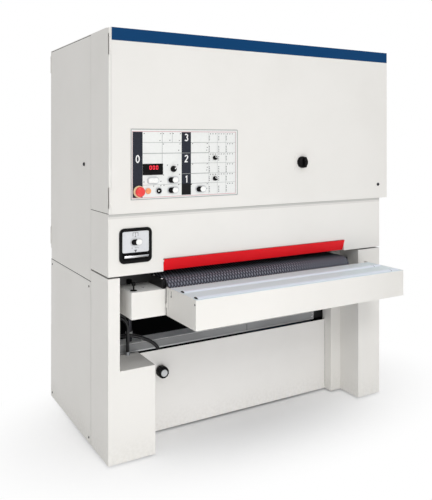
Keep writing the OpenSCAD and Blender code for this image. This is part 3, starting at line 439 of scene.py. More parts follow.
@dataclass(frozen=True)
class Finish:
    """A surface with one shader. Subclasses add the pattern that the real one shows."""

    name: str
    colour: Colour
    roughness: float = 0.4
    metallic: float = 0.0
    specular: float = 0.5
    coat: float = 0.0
    coat_roughness: float = 0.1
    rough_gain: float = 0.0

    @property
    def label(self) -> str:
        """Name of the material, which no material of the frame has."""
        return "look_" + self.name

    def make(self) -> bpy.types.Material:
        """Gives the finish's material, made once.

        Returns:
            The material.
        """
        known = bpy.data.materials.get(self.label)
        if known is not None:
            return known
        material = bpy.data.materials.new(self.label)
        material.use_nodes = True
        material.node_tree.nodes.clear()
        tree = Tree(material.node_tree)
        shader = tree.add("ShaderNodeBsdfPrincipled", {
            "Base Color": opaque(self.colour), "Roughness": self.roughness, "Metallic": self.metallic,
            "Specular IOR Level": self.specular, "Coat Weight": self.coat,
            "Coat Roughness": self.coat_roughness})
        self.shade(tree, shader)
        tree.add("ShaderNodeOutputMaterial", {"Surface": shader.outputs[0]})
        return material

    def shade(self, tree: Tree, shader: bpy.types.Node) -> None:
        """Adds the pattern to the shader.

        Args:
            tree: the material's tree.
            shader: its principled shader.
        """

    def vary_roughness(self, tree: Tree, shader: bpy.types.Node, mask: bpy.types.NodeSocket) -> None:
        """Makes the surface rougher by the finish's gain where a mask is 1.

        Args:
            tree: the material's tree.
            shader: its principled shader.
            mask: the mask's socket.
        """
        rough = tree.math("ADD", tree.math("MULTIPLY", mask, self.rough_gain), self.roughness, clamp=True)
        tree.link(rough, shader.inputs["Roughness"])


@dataclass(frozen=True)
class Paint(Finish):
    """Powder coat or paint with a fine peel, faint clouding and zones of other paint, of painted shade and of
    painted light.
    """

    rough_gain: float = 0.25
    dirt: Colour = srgb(205, 203, 196)
    clouding: float = 0.12
    floor_dust: float = 0.25
    peel: float = 0.08
    zone_wear: float = 0.75
    zones: Tuple[Zone, ...] = ()

    def shade(self, tree: Tree, shader: bpy.types.Node) -> None:
        """Adds the clouding, the zones and the peel.

        Args:
            tree: the material's tree.
            shader: its principled shader.
        """
        grime = tree.group(GRIME, {
            "Colour": opaque(self.colour), "Dirt": opaque(self.dirt), "Amount": self.clouding,
            "Floor dust": self.floor_dust})
        peel = tree.group(PEEL, {"Strength": self.peel})
        colour = grime["Colour"]
        for low, high, other in self.zones:
            box = tree.group(BOX_MASK, {"Low": low, "High": high})
            worn = tree.mix(grime["Mask"], other, scaled(other, self.zone_wear))
            colour = tree.mix(box["Mask"], colour, worn)
        tree.link(colour, shader.inputs["Base Color"])
        tree.link(peel["Normal"], shader.inputs["Normal"])
        self.vary_roughness(tree, shader, grime["Mask"])


@dataclass(frozen=True)
class Backdrop(Paint):
    """Pale floor that turns to plain white away from the machine for what sees it directly or mirrored."""

    near: float = 0.15
    far: float = 0.9
    flatten: Vec3 = (0.55, 1.0, 0.0)

    def make(self) -> bpy.types.Material:
        """Gives the floor's material, made once.

        Returns:
            The material.
        """
        if self.label in bpy.data.materials:
            return bpy.data.materials[self.label]
        material = super().make()
        tree = Tree(material.node_tree)
        shader = next(n for n in tree.tree.nodes if n.type == "BSDF_PRINCIPLED")
        output = next(n for n in tree.tree.nodes if n.type == "OUTPUT_MATERIAL")
        seen = tree.seen()
        coords = tree.coords()
        flat = tree.stretch(coords, self.flatten)
        away = tree.add("ShaderNodeVectorMath", {0: flat}, operation="LENGTH").outputs["Value"]
        share = tree.ramp(away, self.near, self.far)
        white = tree.add("ShaderNodeEmission", {"Color": (1.0, 1.0, 1.0, 1.0), "Strength": 1.0})
        blend = tree.add("ShaderNodeMixShader", {0: tree.math("MULTIPLY", seen, share), 1: shader.outputs[0],
                                                 2: white.outputs[0]})
        tree.link(blend.outputs[0], output.inputs["Surface"])
        return material


@dataclass(frozen=True)
class Metal(Finish):
    """Machined or drawn metal with fine lines."""

    metallic: float = 1.0
    rough_gain: float = 0.12
    stretch: Vec3 = (4.0, 900.0, 900.0)
    lines: float = 0.15
    shadow: float = 0.75

    def shade(self, tree: Tree, shader: bpy.types.Node) -> None:
        """Adds the machining lines.

        Args:
            tree: the material's tree.
            shader: its principled shader.
        """
        lines = tree.group(BRUSHED, {"Stretch": self.stretch, "Strength": self.lines})
        tone = tree.mix(lines["Mask"], scaled(self.colour, self.shadow), self.colour)
        tree.link(tone, shader.inputs["Base Color"])
        tree.link(lines["Normal"], shader.inputs["Normal"])
        self.vary_roughness(tree, shader, lines["Mask"])


@dataclass(frozen=True)
class Zinc(Finish):
    """Galvanised sheet with its spangle."""

    metallic: float = 1.0
    rough_gain: float = 0.2
    spangle: float = 70.0
    shadow: float = 0.72

    def shade(self, tree: Tree, shader: bpy.types.Node) -> None:
        """Adds the spangle.

        Args:
            tree: the material's tree.
            shader: its principled shader.
        """
        coords = tree.coords()
        cells = tree.add("ShaderNodeTexVoronoi", {"Vector": coords, "Scale": self.spangle})
        tone = tree.add("ShaderNodeSeparateColor", {0: cells.outputs["Color"]}).outputs[0]
        tree.link(tree.mix(tone, scaled(self.colour, self.shadow), self.colour), shader.inputs["Base Color"])
        self.vary_roughness(tree, shader, tone)


@dataclass(frozen=True)
class Plastic(Finish):
    """Moulded plastic with a fine grain and slightly worn tones."""

    rough_gain: float = 0.12
    grain: float = 0.12
    scale: float = 700.0
    worn: float = 1.25
    worn_scale: float = 90.0

    def shade(self, tree: Tree, shader: bpy.types.Node) -> None:
        """Adds the grain.

        Args:
            tree: the material's tree.
            shader: its principled shader.
        """
        coords = tree.coords()
        cloud = tree.noise(coords, self.worn_scale, 4.0)
        mask = tree.ramp(cloud, 0.35, 0.7)
        peel = tree.group(PEEL, {"Scale": self.scale, "Strength": self.grain})
        tree.link(tree.mix(mask, self.colour, scaled(self.colour, self.worn)), shader.inputs["Base Color"])
        tree.link(peel["Normal"], shader.inputs["Normal"])
        self.vary_roughness(tree, shader, mask)


@dataclass(frozen=True)
class BeltRubber(Finish):
    """Conveyor rubber with raised diamonds, painted shade in the grooves between them and pale dust specks on
    the diamonds.
    """

    # The grooves between the diamonds are painted darker: painted shade.
    valley_shade: Colour = srgb(64, 66, 75)
    pitch: float = 190.0
    dusty: float = 1.35
    speck_scale: float = 180.0

    def shade(self, tree: Tree, shader: bpy.types.Node) -> None:
        """Adds the diamonds.

        Args:
            tree: the material's tree.
            shader: its principled shader.
        """
        lattice = tree.group(LATTICE, {"Pitch": self.pitch})
        coords = tree.coords()
        speck = tree.noise(coords, self.speck_scale, 3.0)
        tone = tree.mix(tree.ramp(speck, 0.5, 0.72), self.colour, scaled(self.colour, self.dusty))
        tree.link(tree.mix(lattice["Mask"], self.valley_shade, tone), shader.inputs["Base Color"])
        tree.link(lattice["Normal"], shader.inputs["Normal"])


@dataclass(frozen=True)
class Grit(Finish):
    """Abrasive cloth: tightly packed grains on a dark binder."""

    binder: Colour = srgb(88, 52, 34)
    grain_scale: float = 1400.0

    def shade(self, tree: Tree, shader: bpy.types.Node) -> None:
        """Adds the grains.

        Args:
            tree: the material's tree.
            shader: its principled shader.
        """
        coords = tree.coords()
        grains = tree.add("ShaderNodeTexVoronoi", {"Vector": coords, "Scale": self.grain_scale})
        mask = tree.ramp(grains.outputs["Distance"], 0.65, 0.15)
        tree.link(tree.mix(mask, self.binder, self.colour), shader.inputs["Base Color"])
        tree.link(tree.bump(0.5, distance=0.0005, height=mask), shader.inputs["Normal"])


@dataclass(frozen=True)
class Glow(Finish):
    """Lit segments of a display, with a slight unevenness."""

    strength: float = 2.0
    dim: float = 0.7
    uneven_scale: float = 120.0

    def shade(self, tree: Tree, shader: bpy.types.Node) -> None:
        """Adds the light.

        Args:
            tree: the material's tree.
            shader: its principled shader.
        """
        coords = tree.coords()
        noise = tree.noise(coords, self.uneven_scale)
        tone = tree.mix(noise, scaled(self.colour, self.dim), self.colour)
        tree.link(tone, shader.inputs["Emission Color"])
        shader.inputs["Emission Strength"].default_value = self.strength


WHITE = srgb(234, 232, 228)
# SHADE is near-black. On the inner faces of covers and of the table it is painted shade, so their insides look
# dark.
SHADE = srgb(14, 14, 16)
STRIPE = srgb(6, 62, 108)


def coat(name: str, *zones: Zone, colour: Colour = WHITE, roughness: float = 0.42,
         specular: float = 0.2) -> Paint:
    """Describes the powder coat of a sheet-metal cover.

    Args:
        name: the coat's name.
        *zones: boxes of other paint, of painted shade and of painted light.
        colour: the coat's linear colour.
        roughness: how dull it is.
        specular: how much it mirrors.

    Returns:
        The coat.
    """
    return Paint(name, colour, roughness=roughness, specular=specular, zones=zones)


class Paints:
    """Every finish of the machine."""

    white = coat("white_coat")
    door = coat("door_coat", zone((14, 1790), (-5, 1.5), (1990, 2060), STRIPE), specular=0.08)
    left_base = coat(
        "left_base_coat", zone((1.5, 56.5), (9.5, 300), (-10, 876.5), SHADE),
        zone((1.5, 238.5), (9.5, 220.5), (-10, 438.5), SHADE))
    right_base = coat(
        "right_base_coat", zone((1550.5, 1716.5), (9.5, 300), (-10, 876.5), SHADE),
        zone((1477.5, 1552), (166.5, 300), (-10, 876.5), SHADE))
    front_panel = coat(
        "front_panel_coat", zone((150, 1500), (223.5, 300), (-10, 428.5), SHADE), colour=srgb(240, 238, 235))
    rear = coat("rear_coat", zone((1.5, 1770.5), (900, 955.5), (-10, 2100), SHADE))
    left_side = coat("left_side_coat", zone((1.5, 50), (200, 956), (-10, 900), SHADE))
    right_side = coat("right_side_coat", zone((1600, 1716.5), (200, 956), (-10, 1180.5), SHADE))
    right_upper = coat("right_upper_coat", zone((1600, 1770.5), (200, 956), (1180.5, 2100), SHADE))
    top = coat("top_coat", zone((1.5, 1770.5), (32, 955.5), (2000, 2048.5), SHADE))
    apron = coat(
        "apron_coat", zone((1.5, 260), (9.5, 300), (880, 1177), SHADE),
        zone((1460, 1716.5), (9.5, 300), (880, 1177), SHADE),
        zone((260, 1460), (9.5, 300), (952, 1177), SHADE),
        # The two pale grey bands under the door's bottom edge are a painted shadow of the door on the apron.
        zone((1, 1717), (5, 9.5), (1156, 1166), srgb(220, 218, 214)),
        zone((1, 1717), (5, 9.5), (1166, 1182), srgb(198, 197, 194)))
    # The infeed's coat is a darker copy of WHITE: painted shade that keeps its lit front below white.
    infeed = coat(
        "infeed_coat", zone((284.5, 1566.5), (-320.5, -47.5), (600, 815.5), SHADE),
        zone((290, 1500), (-45.9, 200), (600, 800), SHADE),
        zone((286, 1565), (-338, -60), (815.5, 830), srgb(218, 230, 235)),
        colour=srgb(227, 225, 221), roughness=0.38)
    end_box = coat(
        "end_box_coat", zone((115.5, 270.5), (1.5, 163.5), (600, 804.5), SHADE),
        # The brighter left face and top of the end box are painted light.
        zone((100, 109), (-20, 170), (600, 810), srgb(252, 251, 248)),
        zone((109, 272), (-12, 170), (805.2, 810), srgb(252, 252, 250)))
    # Near-black structure: dark frame paint, taken darker still as painted shade of the closed bay.
    structure = Paint("structure_paint", srgb(18, 18, 20), roughness=0.55, specular=0.15,
                      dirt=srgb(38, 37, 36), clouding=0.35, floor_dust=0.6, peel=0.2)
    bed = Paint("bed_paint", srgb(13, 13, 15), roughness=0.35, specular=0.3, dirt=srgb(40, 39, 38),
                clouding=0.2, peel=0.15)
    motor = Paint("motor_paint", srgb(70, 90, 118), roughness=0.4, dirt=srgb(52, 56, 62), clouding=0.4,
                  peel=0.25)
    gear = Paint("gear_paint", srgb(206, 207, 204), roughness=0.5, dirt=srgb(150, 150, 146), clouding=0.2,
                 zones=(zone((150, 1120), (100, 234.5), (1170, 2050), srgb(92, 98, 104)),
                        zone((1300, 1660), (100, 234.5), (1170, 2050), srgb(48, 50, 54))))
    guard = Paint("guard_red_paint", srgb(246, 22, 34), roughness=0.3, specular=0.25, dirt=srgb(180, 10, 14),
                  clouding=0.2, peel=0.06)
    beam = Paint("beam_paint", srgb(150, 151, 152), roughness=0.45, specular=0.2, dirt=srgb(104, 104, 104),
                 clouding=0.4, peel=0.2, zones=(
                     # The lighter top face is painted light; the dark right end stands for the black bracket
                     # to the column.
                     zone((0, 1408), (0, 960), (478.6, 490), srgb(246, 247, 246)),
                     zone((1408, 1720), (0, 300), (430, 490), SHADE)))
    trim = Metal("trim_steel", srgb(206, 207, 208), roughness=0.45, stretch=(5.0, 420.0, 420.0))
    steel = Metal("bright_steel", srgb(200, 201, 203), roughness=0.26)
    dark_steel = Metal("oiled_steel", srgb(58, 58, 62), roughness=0.4, lines=0.25)
    roller = Metal("roller_aluminium", srgb(228, 235, 246), roughness=0.45, metallic=0.25,
                   stretch=(2.0, 600.0, 600.0), shadow=0.94)
    chrome = Metal("polished_chrome", srgb(235, 236, 238), roughness=0.1, lines=0.04, shadow=0.95)
    zinc = Zinc("galvanised_sheet", srgb(196, 200, 204), roughness=0.32)
    belt = BeltRubber("conveyor_rubber", srgb(130, 133, 144), roughness=0.8, specular=0.05)
    contact = Plastic("contact_rubber", srgb(30, 30, 33), roughness=0.6, specular=0.2, grain=0.2)
    drive = Plastic("drive_rubber", srgb(26, 26, 28), roughness=0.55, grain=0.2)
    hose = Plastic("hose_rubber", srgb(12, 12, 14), roughness=0.3, specular=0.4, grain=0.15)
    grit = Grit("abrasive_cloth", srgb(150, 96, 62), roughness=0.85)
    black = Plastic("black_plastic", srgb(8, 8, 9), roughness=0.4, specular=0.12)
    ink = Plastic("printed_black", srgb(34, 37, 47), roughness=0.42, specular=0.2, grain=0.05)
    ink_dark = Plastic("printed_deep_black", srgb(9, 9, 12), roughness=0.4, specular=0.2, grain=0.05)
    ink_grey = Plastic("printed_grey", srgb(158, 161, 160), roughness=0.45, grain=0.05, worn=1.1)
    ink_mark = Plastic("printed_marks", srgb(92, 92, 94), roughness=0.45, grain=0.05, worn=1.2)
    ink_rose = Plastic("printed_rose", srgb(208, 160, 166), roughness=0.45, grain=0.05, worn=1.05)
    ink_white = Plastic("printed_white", srgb(240, 240, 240), roughness=0.45, grain=0.05, worn=1.03)
    film = Plastic("fascia_film", srgb(232, 233, 231), roughness=0.36, grain=0.05, worn=1.03)
    grey = Plastic("grey_plastic", srgb(206, 208, 210), roughness=0.4, worn=1.06)
    plate = Plastic("station_film", srgb(214, 216, 219), roughness=0.35, grain=0.04, worn=1.04)
    white_key = Plastic("white_key", srgb(244, 244, 242), roughness=0.25, coat=0.4, worn=1.02)
    red_key = Plastic("stop_red", srgb(226, 44, 40), roughness=0.28, coat=0.5, worn=1.15)
    cream = Plastic("stop_collar", srgb(246, 222, 176), roughness=0.38, worn=1.03)
    amber = Plastic("lamp_amber", srgb(236, 152, 96), roughness=0.25, coat=0.4, worn=1.08)
    screen = Plastic("display_window", srgb(7, 5, 6), roughness=0.2, specular=0.12, grain=0.02)
    lit = Glow("lit_segments", srgb(235, 40, 60), roughness=0.4, strength=1.6)
    black_screw = Plastic("black_screw", srgb(20, 20, 22), roughness=0.3, specular=0.5)
    # Near-black for dark seals and joints; in the lock's key slot, the cheek's first slot and behind the
    # station's slot it is painted shade of the opening.
    gap = Plastic("dark_slot", srgb(6, 6, 7), roughness=0.6, specular=0.1)


Outline = Sequence[Spot]


def mesh_object(name: str, bm: bmesh.types.BMesh, smooth: bool = False) -> bpy.types.Object:
    """Turns a bmesh into an object of the scene, with its normals outward.

    Args:
        name: the object's name.
        bm: the mesh, which is freed.
        smooth: whether its faces are shaded smoothly up to sharp edges.

    Returns:
        The object.
    """
    bmesh.ops.recalc_face_normals(bm, faces=bm.faces)
    for face in bm.faces:
        face.smooth = smooth
    if smooth:
        for edge in bm.edges:
            edge.smooth = len(edge.link_faces) == 2 and edge.calc_face_angle(0.0) < SHARP_EDGE
    mesh = bpy.data.meshes.new(name)
    bm.to_mesh(mesh)
    bm.free()
    obj = bpy.data.objects.new(name, mesh)
    bpy.context.scene.collection.objects.link(obj)
    return obj


def dress(obj: bpy.types.Object, finishes: Sequence[Finish], body: str,
          replaces: Sequence[str] = ()) -> bpy.types.Object:
    """Gives a new piece its materials, its body and the nodes that it stands for.

    Args:
        obj: the piece.
        finishes: finish of each material index.
        body: the CAD body that it rides on.
        replaces: CAD nodes that are hidden for it.

    Returns:
        The piece.
    """
    if not obj.data.materials:
        for finish in finishes:
            obj.data.materials.append(finish.make())
    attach(obj, body)
    if replaces:
        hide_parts(*replaces)
    LOG.info("%s rides on %s", obj.name, body)
    return obj


def band_faces(rings: int, count: int, closed: bool = False) -> List[List[int]]:
    """Gives the faces that join rings of points.

    Args:
        rings: number of rings.
        count: points in a ring.
        closed: whether the last ring joins the first, in place of a cap at each end.

    Returns:
        Indices of each face's corners.
    """
    faces = []
    for i in range(rings if closed else rings - 1):
        near, far = i * count, (i + 1) % rings * count
        for k in range(count):
            after = (k + 1) % count
            faces.append([near + k, near + after, far + after, far + k])
    if not closed:
        faces.append(list(range(count))[::-1])
        faces.append([(rings - 1) * count + k for k in range(count)])
    return faces


class Shape:
    """Mesh under construction, in corner millimetres, with a material index for what is added next."""

    def __init__(self) -> None:
        """Starts with an empty mesh and the first material."""
        self.bm = bmesh.new()
        self.index = 0
        self.prints = 0

    def add_faces(self, points: Sequence[Vector], faces: Sequence[Sequence[int]]) -> List[bmesh.types.BMFace]:
        """Adds faces over new points.

        Args:
            points: corners in the part's frame.
            faces: indices of each face's corners.

        Returns:
            The new faces.
        """
        verts = [self.bm.verts.new(p) for p in points]
        made = [self.bm.faces.new([verts[i] for i in face]) for face in faces]
        for face in made:
            face.material_index = self.index
        return made

    def merge(self, other: bmesh.types.BMesh) -> None:
        """Adds another mesh, with the present material index.

        Args:
            other: the mesh, which is freed.
        """
        for face in other.faces:
            face.material_index = self.index
        data = bpy.data.meshes.new("merge")
        other.to_mesh(data)
        other.free()
        self.bm.from_mesh(data)
        bpy.data.meshes.remove(data)

    def box(self, x: Spot, y: Spot, z: Spot, bevel: float) -> "Shape":
        """Adds a box with rounded edges.

        Args:
            x: limits.
            y: limits.
            z: limits.
            bevel: radius of its edges.

        Returns:
            This shape.
        """
        bm = bmesh.new()
        bmesh.ops.create_cube(bm, size=1.0)
        middle = place((x[0] + x[1]) / 2, (y[0] + y[1]) / 2, (z[0] + z[1]) / 2)
        size = Vector((x[1] - x[0], y[1] - y[0], z[1] - z[0])) * MM
        fit = Matrix.Translation(middle) @ Matrix.Diagonal((*size, 1.0))
        bmesh.ops.transform(bm, matrix=fit, verts=bm.verts)
        bmesh.ops.bevel(bm, geom=bm.edges[:], offset=bevel * MM, segments=2, affect="EDGES", profile=0.5)
        self.merge(bm)
        return self

    def slab(self, outline: Outline, at: Vec3, depth: float, bevel: float = 0.0,
             turn: Optional[Matrix] = None) -> "Shape":
        """Adds a plate of any outline, with a rounded front edge.

        Args:
            outline: points in X and Z round its middle.
            at: place of its back's middle.
            depth: thickness towards the operator.
            bevel: radius of its front edge.
            turn: rotation about its place.

        Returns:
            This shape.
        """
        rings: List[List[Vector]] = [[Vector((a, 0.0, b)) for a, b in outline]]
        for i in range(EDGE_STEPS + 1):
            angle = math.pi / 2 * i / EDGE_STEPS
            inset = bevel * (1 - math.cos(angle))
            forward = depth - bevel + bevel * math.sin(angle)
            ring = []
            for a, b in outline:
                radius = math.hypot(a, b)
                scale = (radius - inset) / radius if radius else 1.0
                ring.append(Vector((a * scale, -forward, b * scale)))
            rings.append(ring)
            if not bevel:
                break
        points = [at_point(at, p, turn) for ring in rings for p in ring]
        self.add_faces(points, band_faces(len(rings), len(outline)))
        return self

    def ring(self, outer: Outline, inner: Outline, at: Vec3, depth: float, bevel: float) -> "Shape":
        """Adds a flat frame between two outlines of as many points, with rounded front edges.

        Args:
            outer: outer outline in X and Z.
            inner: inner outline.
            at: place of its back's middle.
            depth: thickness towards the operator.
            bevel: radius of the front edges.

        Returns:
            This shape.
        """
        rows = [(0.0, 0.0), (0.0, depth - bevel), (0.3, depth - 0.3 * bevel), (1.0, depth)]
        rings: List[List[Vector]] = []
        for share, forward in rows:
            rings.append([step(o, i, share * bevel, -forward) for o, i in zip(outer, inner)])
        for share, forward in rows[::-1]:
            rings.append([step(i, o, share * bevel, -forward) for o, i in zip(outer, inner)])
        points = [at_point(at, p, None) for r in rings for p in r]
        self.add_faces(points, band_faces(len(rings), len(outer), closed=True))
        return self

    def lathe(self, profile: Sequence[Spot], at: Vec3, axis: Vector, segments: int = 48,
              lobes: int = 0, depth: float = 0.0) -> "Shape":
        """Adds a turned piece.

        Args:
            profile: radius and distance along the axis, from the first end to the last.
            at: place of the axis's start.
            axis: direction of the axis.
            segments: steps round the axis.
            lobes: number of flutes round the piece, or 0.
            depth: depth of a flute.

        Returns:
            This shape.
        """
        frame_turn = axis.to_track_quat("Z", "Y").to_matrix()
        points: List[Vector] = []
        for radius, along in profile:
            for k in range(segments):
                angle = 2 * math.pi * k / segments
                fluted = lobes and radius > 2 * depth
                r = radius - depth * max(0.0, math.cos(lobes * angle)) ** 3 if fluted else radius
                offset = frame_turn @ Vector((r * math.cos(angle), r * math.sin(angle), along))
                points.append(place(*at) + offset * MM)
        self.add_faces(points, band_faces(len(profile), segments))
        return self

    def rect(self, x: Spot, z: Spot, y: float) -> "Shape":
        """Adds a flat printed rectangle that faces the operator.

        Args:
            x: limits.
            z: limits.
            y: depth of its plane.

        Returns:
            This shape.
        """
        y -= self.print_lift()
        corners = [place(x[0], y, z[0]), place(x[1], y, z[0]), place(x[1], y, z[1]), place(x[0], y, z[1])]
        self.add_faces(corners, [[0, 1, 2, 3]])
        return self

    def print_lift(self) -> float:
        """Counts a printed mark, so that two marks that cross never share a plane.

        Returns:
            The mark's height above the print in millimetres.
        """
        self.prints += 1
        return PRINT_STEP * (self.prints % PRINT_LEVELS)

    def polygon(self, points: Outline, y: float) -> "Shape":
        """Adds a flat printed polygon that faces the operator.

        Args:
            points: corners in X and Z.
            y: depth of its plane.

        Returns:
            This shape.
        """
        self.add_faces([place(a, y, b) for a, b in points], [list(range(len(points)))])
        return self

    def paint(self, index: int) -> "Shape":
        """Sets the material index for what is added next.

        Args:
            index: the index.

        Returns:
            This shape.
        """
        self.index = index
        return self

    def finish(self, name: str, smooth: bool = True) -> bpy.types.Object:
        """Makes the object.

        Args:
            name: its name.
            smooth: whether it is shaded smoothly.

        Returns:
            The object.
        """
        return mesh_object(name, self.bm, smooth)


def at_point(at: Vec3, offset: Vector, turn: Optional[Matrix]) -> Vector:
    """Moves a point in millimetres to its place.

    Args:
        at: the place in corner millimetres.
        offset: the point from there.
        turn: rotation about the place.

    Returns:
        The point in metres.
    """
    if turn is not None:
        offset = turn @ offset
    return place(*at) + offset * MM


def step(start: Spot, goal: Spot, distance: float, y: float) -> Vector:
    """Walks from one point towards another in the plane of a plate.

    Args:
        start: first point.
        goal: second point.
        distance: how far to walk.
        y: depth given to the result.

    Returns:
        The point reached.
    """
    gap = math.hypot(goal[0] - start[0], goal[1] - start[1]) or 1.0
    share = distance / gap
    return Vector((start[0] + (goal[0] - start[0]) * share, y, start[1] + (goal[1] - start[1]) * share))


def round_rect(w: float, h: float, r: float, steps: int = 8) -> Outline:
    """Gives a rectangle's outline with round corners.

    Args:
        w: width.
        h: height.
        r: corner radius.
        steps: steps round a corner.

    Returns:
        Points round its middle, anticlockwise.
    """
    points: List[Spot] = []
    for i, (sx, sz) in enumerate(((1, -1), (1, 1), (-1, 1), (-1, -1))):
        for k in range(steps + 1):
            angle = math.pi / 2 * (i - 1 + k / steps)
            points.append((sx * (w / 2 - r) + r * math.cos(angle), sz * (h / 2 - r) + r * math.sin(angle)))
    return points


def disc(r: float, steps: int = 40) -> Outline:
    """Gives a circle's outline.

    Args:
        r: radius.
        steps: number of points.

    Returns:
        Points round its middle.
    """
    angles = [2 * math.pi * k / steps for k in range(steps)]
    return [(r * math.cos(a), r * math.sin(a)) for a in angles]


FRONT = Vector((0, -1, 0))
LEFT = Vector((-1, 0, 0))
RIGHT = Vector((1, 0, 0))
UP = Vector((0, 0, 1))
UPRIGHT: Vec3 = (0.0, 0.0, 0.0)
TO_LEFT: Vec3 = (0.0, -math.pi / 2, 0.0)
TO_RIGHT: Vec3 = (0.0, math.pi / 2, 0.0)
TO_BACK: Vec3 = (-math.pi / 2, 0.0, 0.0)
TO_FRONT: Vec3 = (math.pi / 2, 0.0, 0.0)


def repeat_group() -> bpy.types.NodeTree:
    """Makes the geometry node group that sets one unit on every point of a mesh.

    Returns:
        The group.
    """
    group = bpy.data.node_groups.new("unit_on_points", "GeometryNodeTree")
    face = group.interface
    face.new_socket("Points", in_out="INPUT", socket_type="NodeSocketGeometry")
    face.new_socket("Unit", in_out="INPUT", socket_type="NodeSocketObject")
    face.new_socket("Turn", in_out="INPUT", socket_type="NodeSocketRotation")
    face.new_socket("Finish", in_out="INPUT", socket_type="NodeSocketMaterial")
    face.new_socket("Pieces", in_out="OUTPUT", socket_type="NodeSocketGeometry")
    tree = Tree(group)
    given, out = tree.add("NodeGroupInput"), tree.add("NodeGroupOutput")
    unit = tree.add("GeometryNodeObjectInfo", {"Object": given.outputs["Unit"]})
    spread = tree.add("GeometryNodeInstanceOnPoints", {
        "Points": given.outputs["Points"], "Instance": unit.outputs["Geometry"],
        "Rotation": given.outputs["Turn"]})
    solid = tree.add("GeometryNodeRealizeInstances", {"Geometry": spread.outputs["Instances"]})
    painted = tree.add("GeometryNodeSetMaterial", {
        "Geometry": solid.outputs["Geometry"], "Material": given.outputs["Finish"]})
    tree.link(painted.outputs["Geometry"], out.inputs["Pieces"])
    return group


REPEAT = repeat_group()


def repeat(name: str, unit: bpy.types.Object, points: Sequence[Vec3], turn: Vec3,
           finish: Finish) -> bpy.types.Object:
    """Sets a unit on every point with geometry nodes and turns the result into a plain mesh.

    Args:
        name: the new object's name.
        unit: the unit, modelled at the origin, which is removed.
        points: places in corner millimetres.
        turn: rotation of each unit, in radians.
        finish: finish of every unit.

    Returns:
        The object.
    """
    base = bpy.data.meshes.new(name)
    base.from_pydata([place(*p) for p in points], [], [])
    obj = bpy.data.objects.new(name, base)
    bpy.context.scene.collection.objects.link(obj)
    modifier = obj.modifiers.new("repeat", "NODES")
    modifier.node_group = REPEAT
    sockets = {item.name: item.identifier for item in REPEAT.interface.items_tree if item.in_out == "INPUT"}
    modifier[sockets["Unit"]] = unit
    modifier[sockets["Turn"]] = turn
    modifier[sockets["Finish"]] = finish.make()
    bpy.context.view_layer.update()
    solid = bpy.data.meshes.new_from_object(obj.evaluated_get(bpy.context.evaluated_depsgraph_get()))
    obj.modifiers.remove(modifier)
    obj.data = solid
    solid.name = name
    bpy.data.meshes.remove(base)
    bpy.data.objects.remove(unit)
    return obj


def origin_shape(build: Callable[[Shape], Shape], name: str) -> bpy.types.Object:
    """Builds a unit round the scene's origin.

    Args:
        build: adds the unit to a shape, with the unit's place at the corner measures of the origin.
        name: the unit's name.

    Returns:
        The unit.
    """
    return build(Shape()).finish(name)


ZERO: Vec3 = (ORIGIN_X, ORIGIN_Y, 0.0)


@dataclass
class Panelwork:
    """CAD nodes that stay: their finishes and the small round of their edges."""

    finishes: Dict[str, Finish] = field(default_factory=lambda: {
        "front_door": Paints.door, "side_door": Paints.white, "cabinet_shell": Paints.white,
        "apron": Paints.apron, "left_base_cover": Paints.left_base, "right_base_cover": Paints.right_base,
        "front_base_panel": Paints.front_panel, "left_lower_panel": Paints.left_side,
        "right_lower_panel": Paints.right_side, "right_upper_panel": Paints.right_upper,
        "rear_upper_panel": Paints.rear, "rear_lower_panel": Paints.rear, "top_cover": Paints.top,
        "infeed_table": Paints.infeed, "table_end_box": Paints.end_box, "left_pedestal": Paints.structure,
        "right_frame": Paints.structure, "head_beams": Paints.structure, "conveyor_bed": Paints.bed,
        "cross_beams": Paints.beam, "levelling_feet": Paints.dark_steel, "pressure_bars": Paints.steel,
        "front_roller": Paints.steel, "rear_roller": Paints.steel, "tension_roller_1": Paints.steel,
        "tension_roller_2": Paints.steel, "motor_pulley": Paints.steel, "lift_screws": Paints.dark_steel,
        "dust_manifold": Paints.zinc, "switchgear": Paints.gear, "infeed_roller_1": Paints.roller,
        "infeed_roller_2": Paints.roller, "conveyor_belt": Paints.belt, "contact_roller_1": Paints.contact,
        "contact_roller_2": Paints.contact, "drive_belts": Paints.drive, "sanding_belt_1": Paints.grit,
        "sanding_belt_2": Paints.grit, "main_motor": Paints.motor, "belt_gearmotor": Paints.motor,
        "guard_bar": Paints.guard})
    rounded: Tuple[str, ...] = (
        "side_door", "cabinet_shell", "apron", "left_base_cover", "right_base_cover", "infeed_table",
        "table_end_box", "cross_beams", "guard_bar")
    radius: float = 0.7
    weld_gap: float = 0.01
    edge_angle: float = 50.0

    def build(self) -> None:
        """Paints the nodes and rounds the edges of the sheet-metal ones."""
        for name, finish in self.finishes.items():
            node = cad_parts[name]
            node.data.materials.clear()
            node.data.materials.append(finish.make())
            if name in self.rounded:
                weld = node.modifiers.new("join", "WELD")
                weld.merge_threshold = self.weld_gap * MM
                bevel = node.modifiers.new("round", "BEVEL")
                bevel.width = self.radius * MM
                bevel.segments = 2
                bevel.limit_method = "ANGLE"
                bevel.angle_limit = math.radians(self.edge_angle)
            LOG.info("%s wears %s", name, finish.name)


KEY_W = 52.0
KEY_H = 26.0


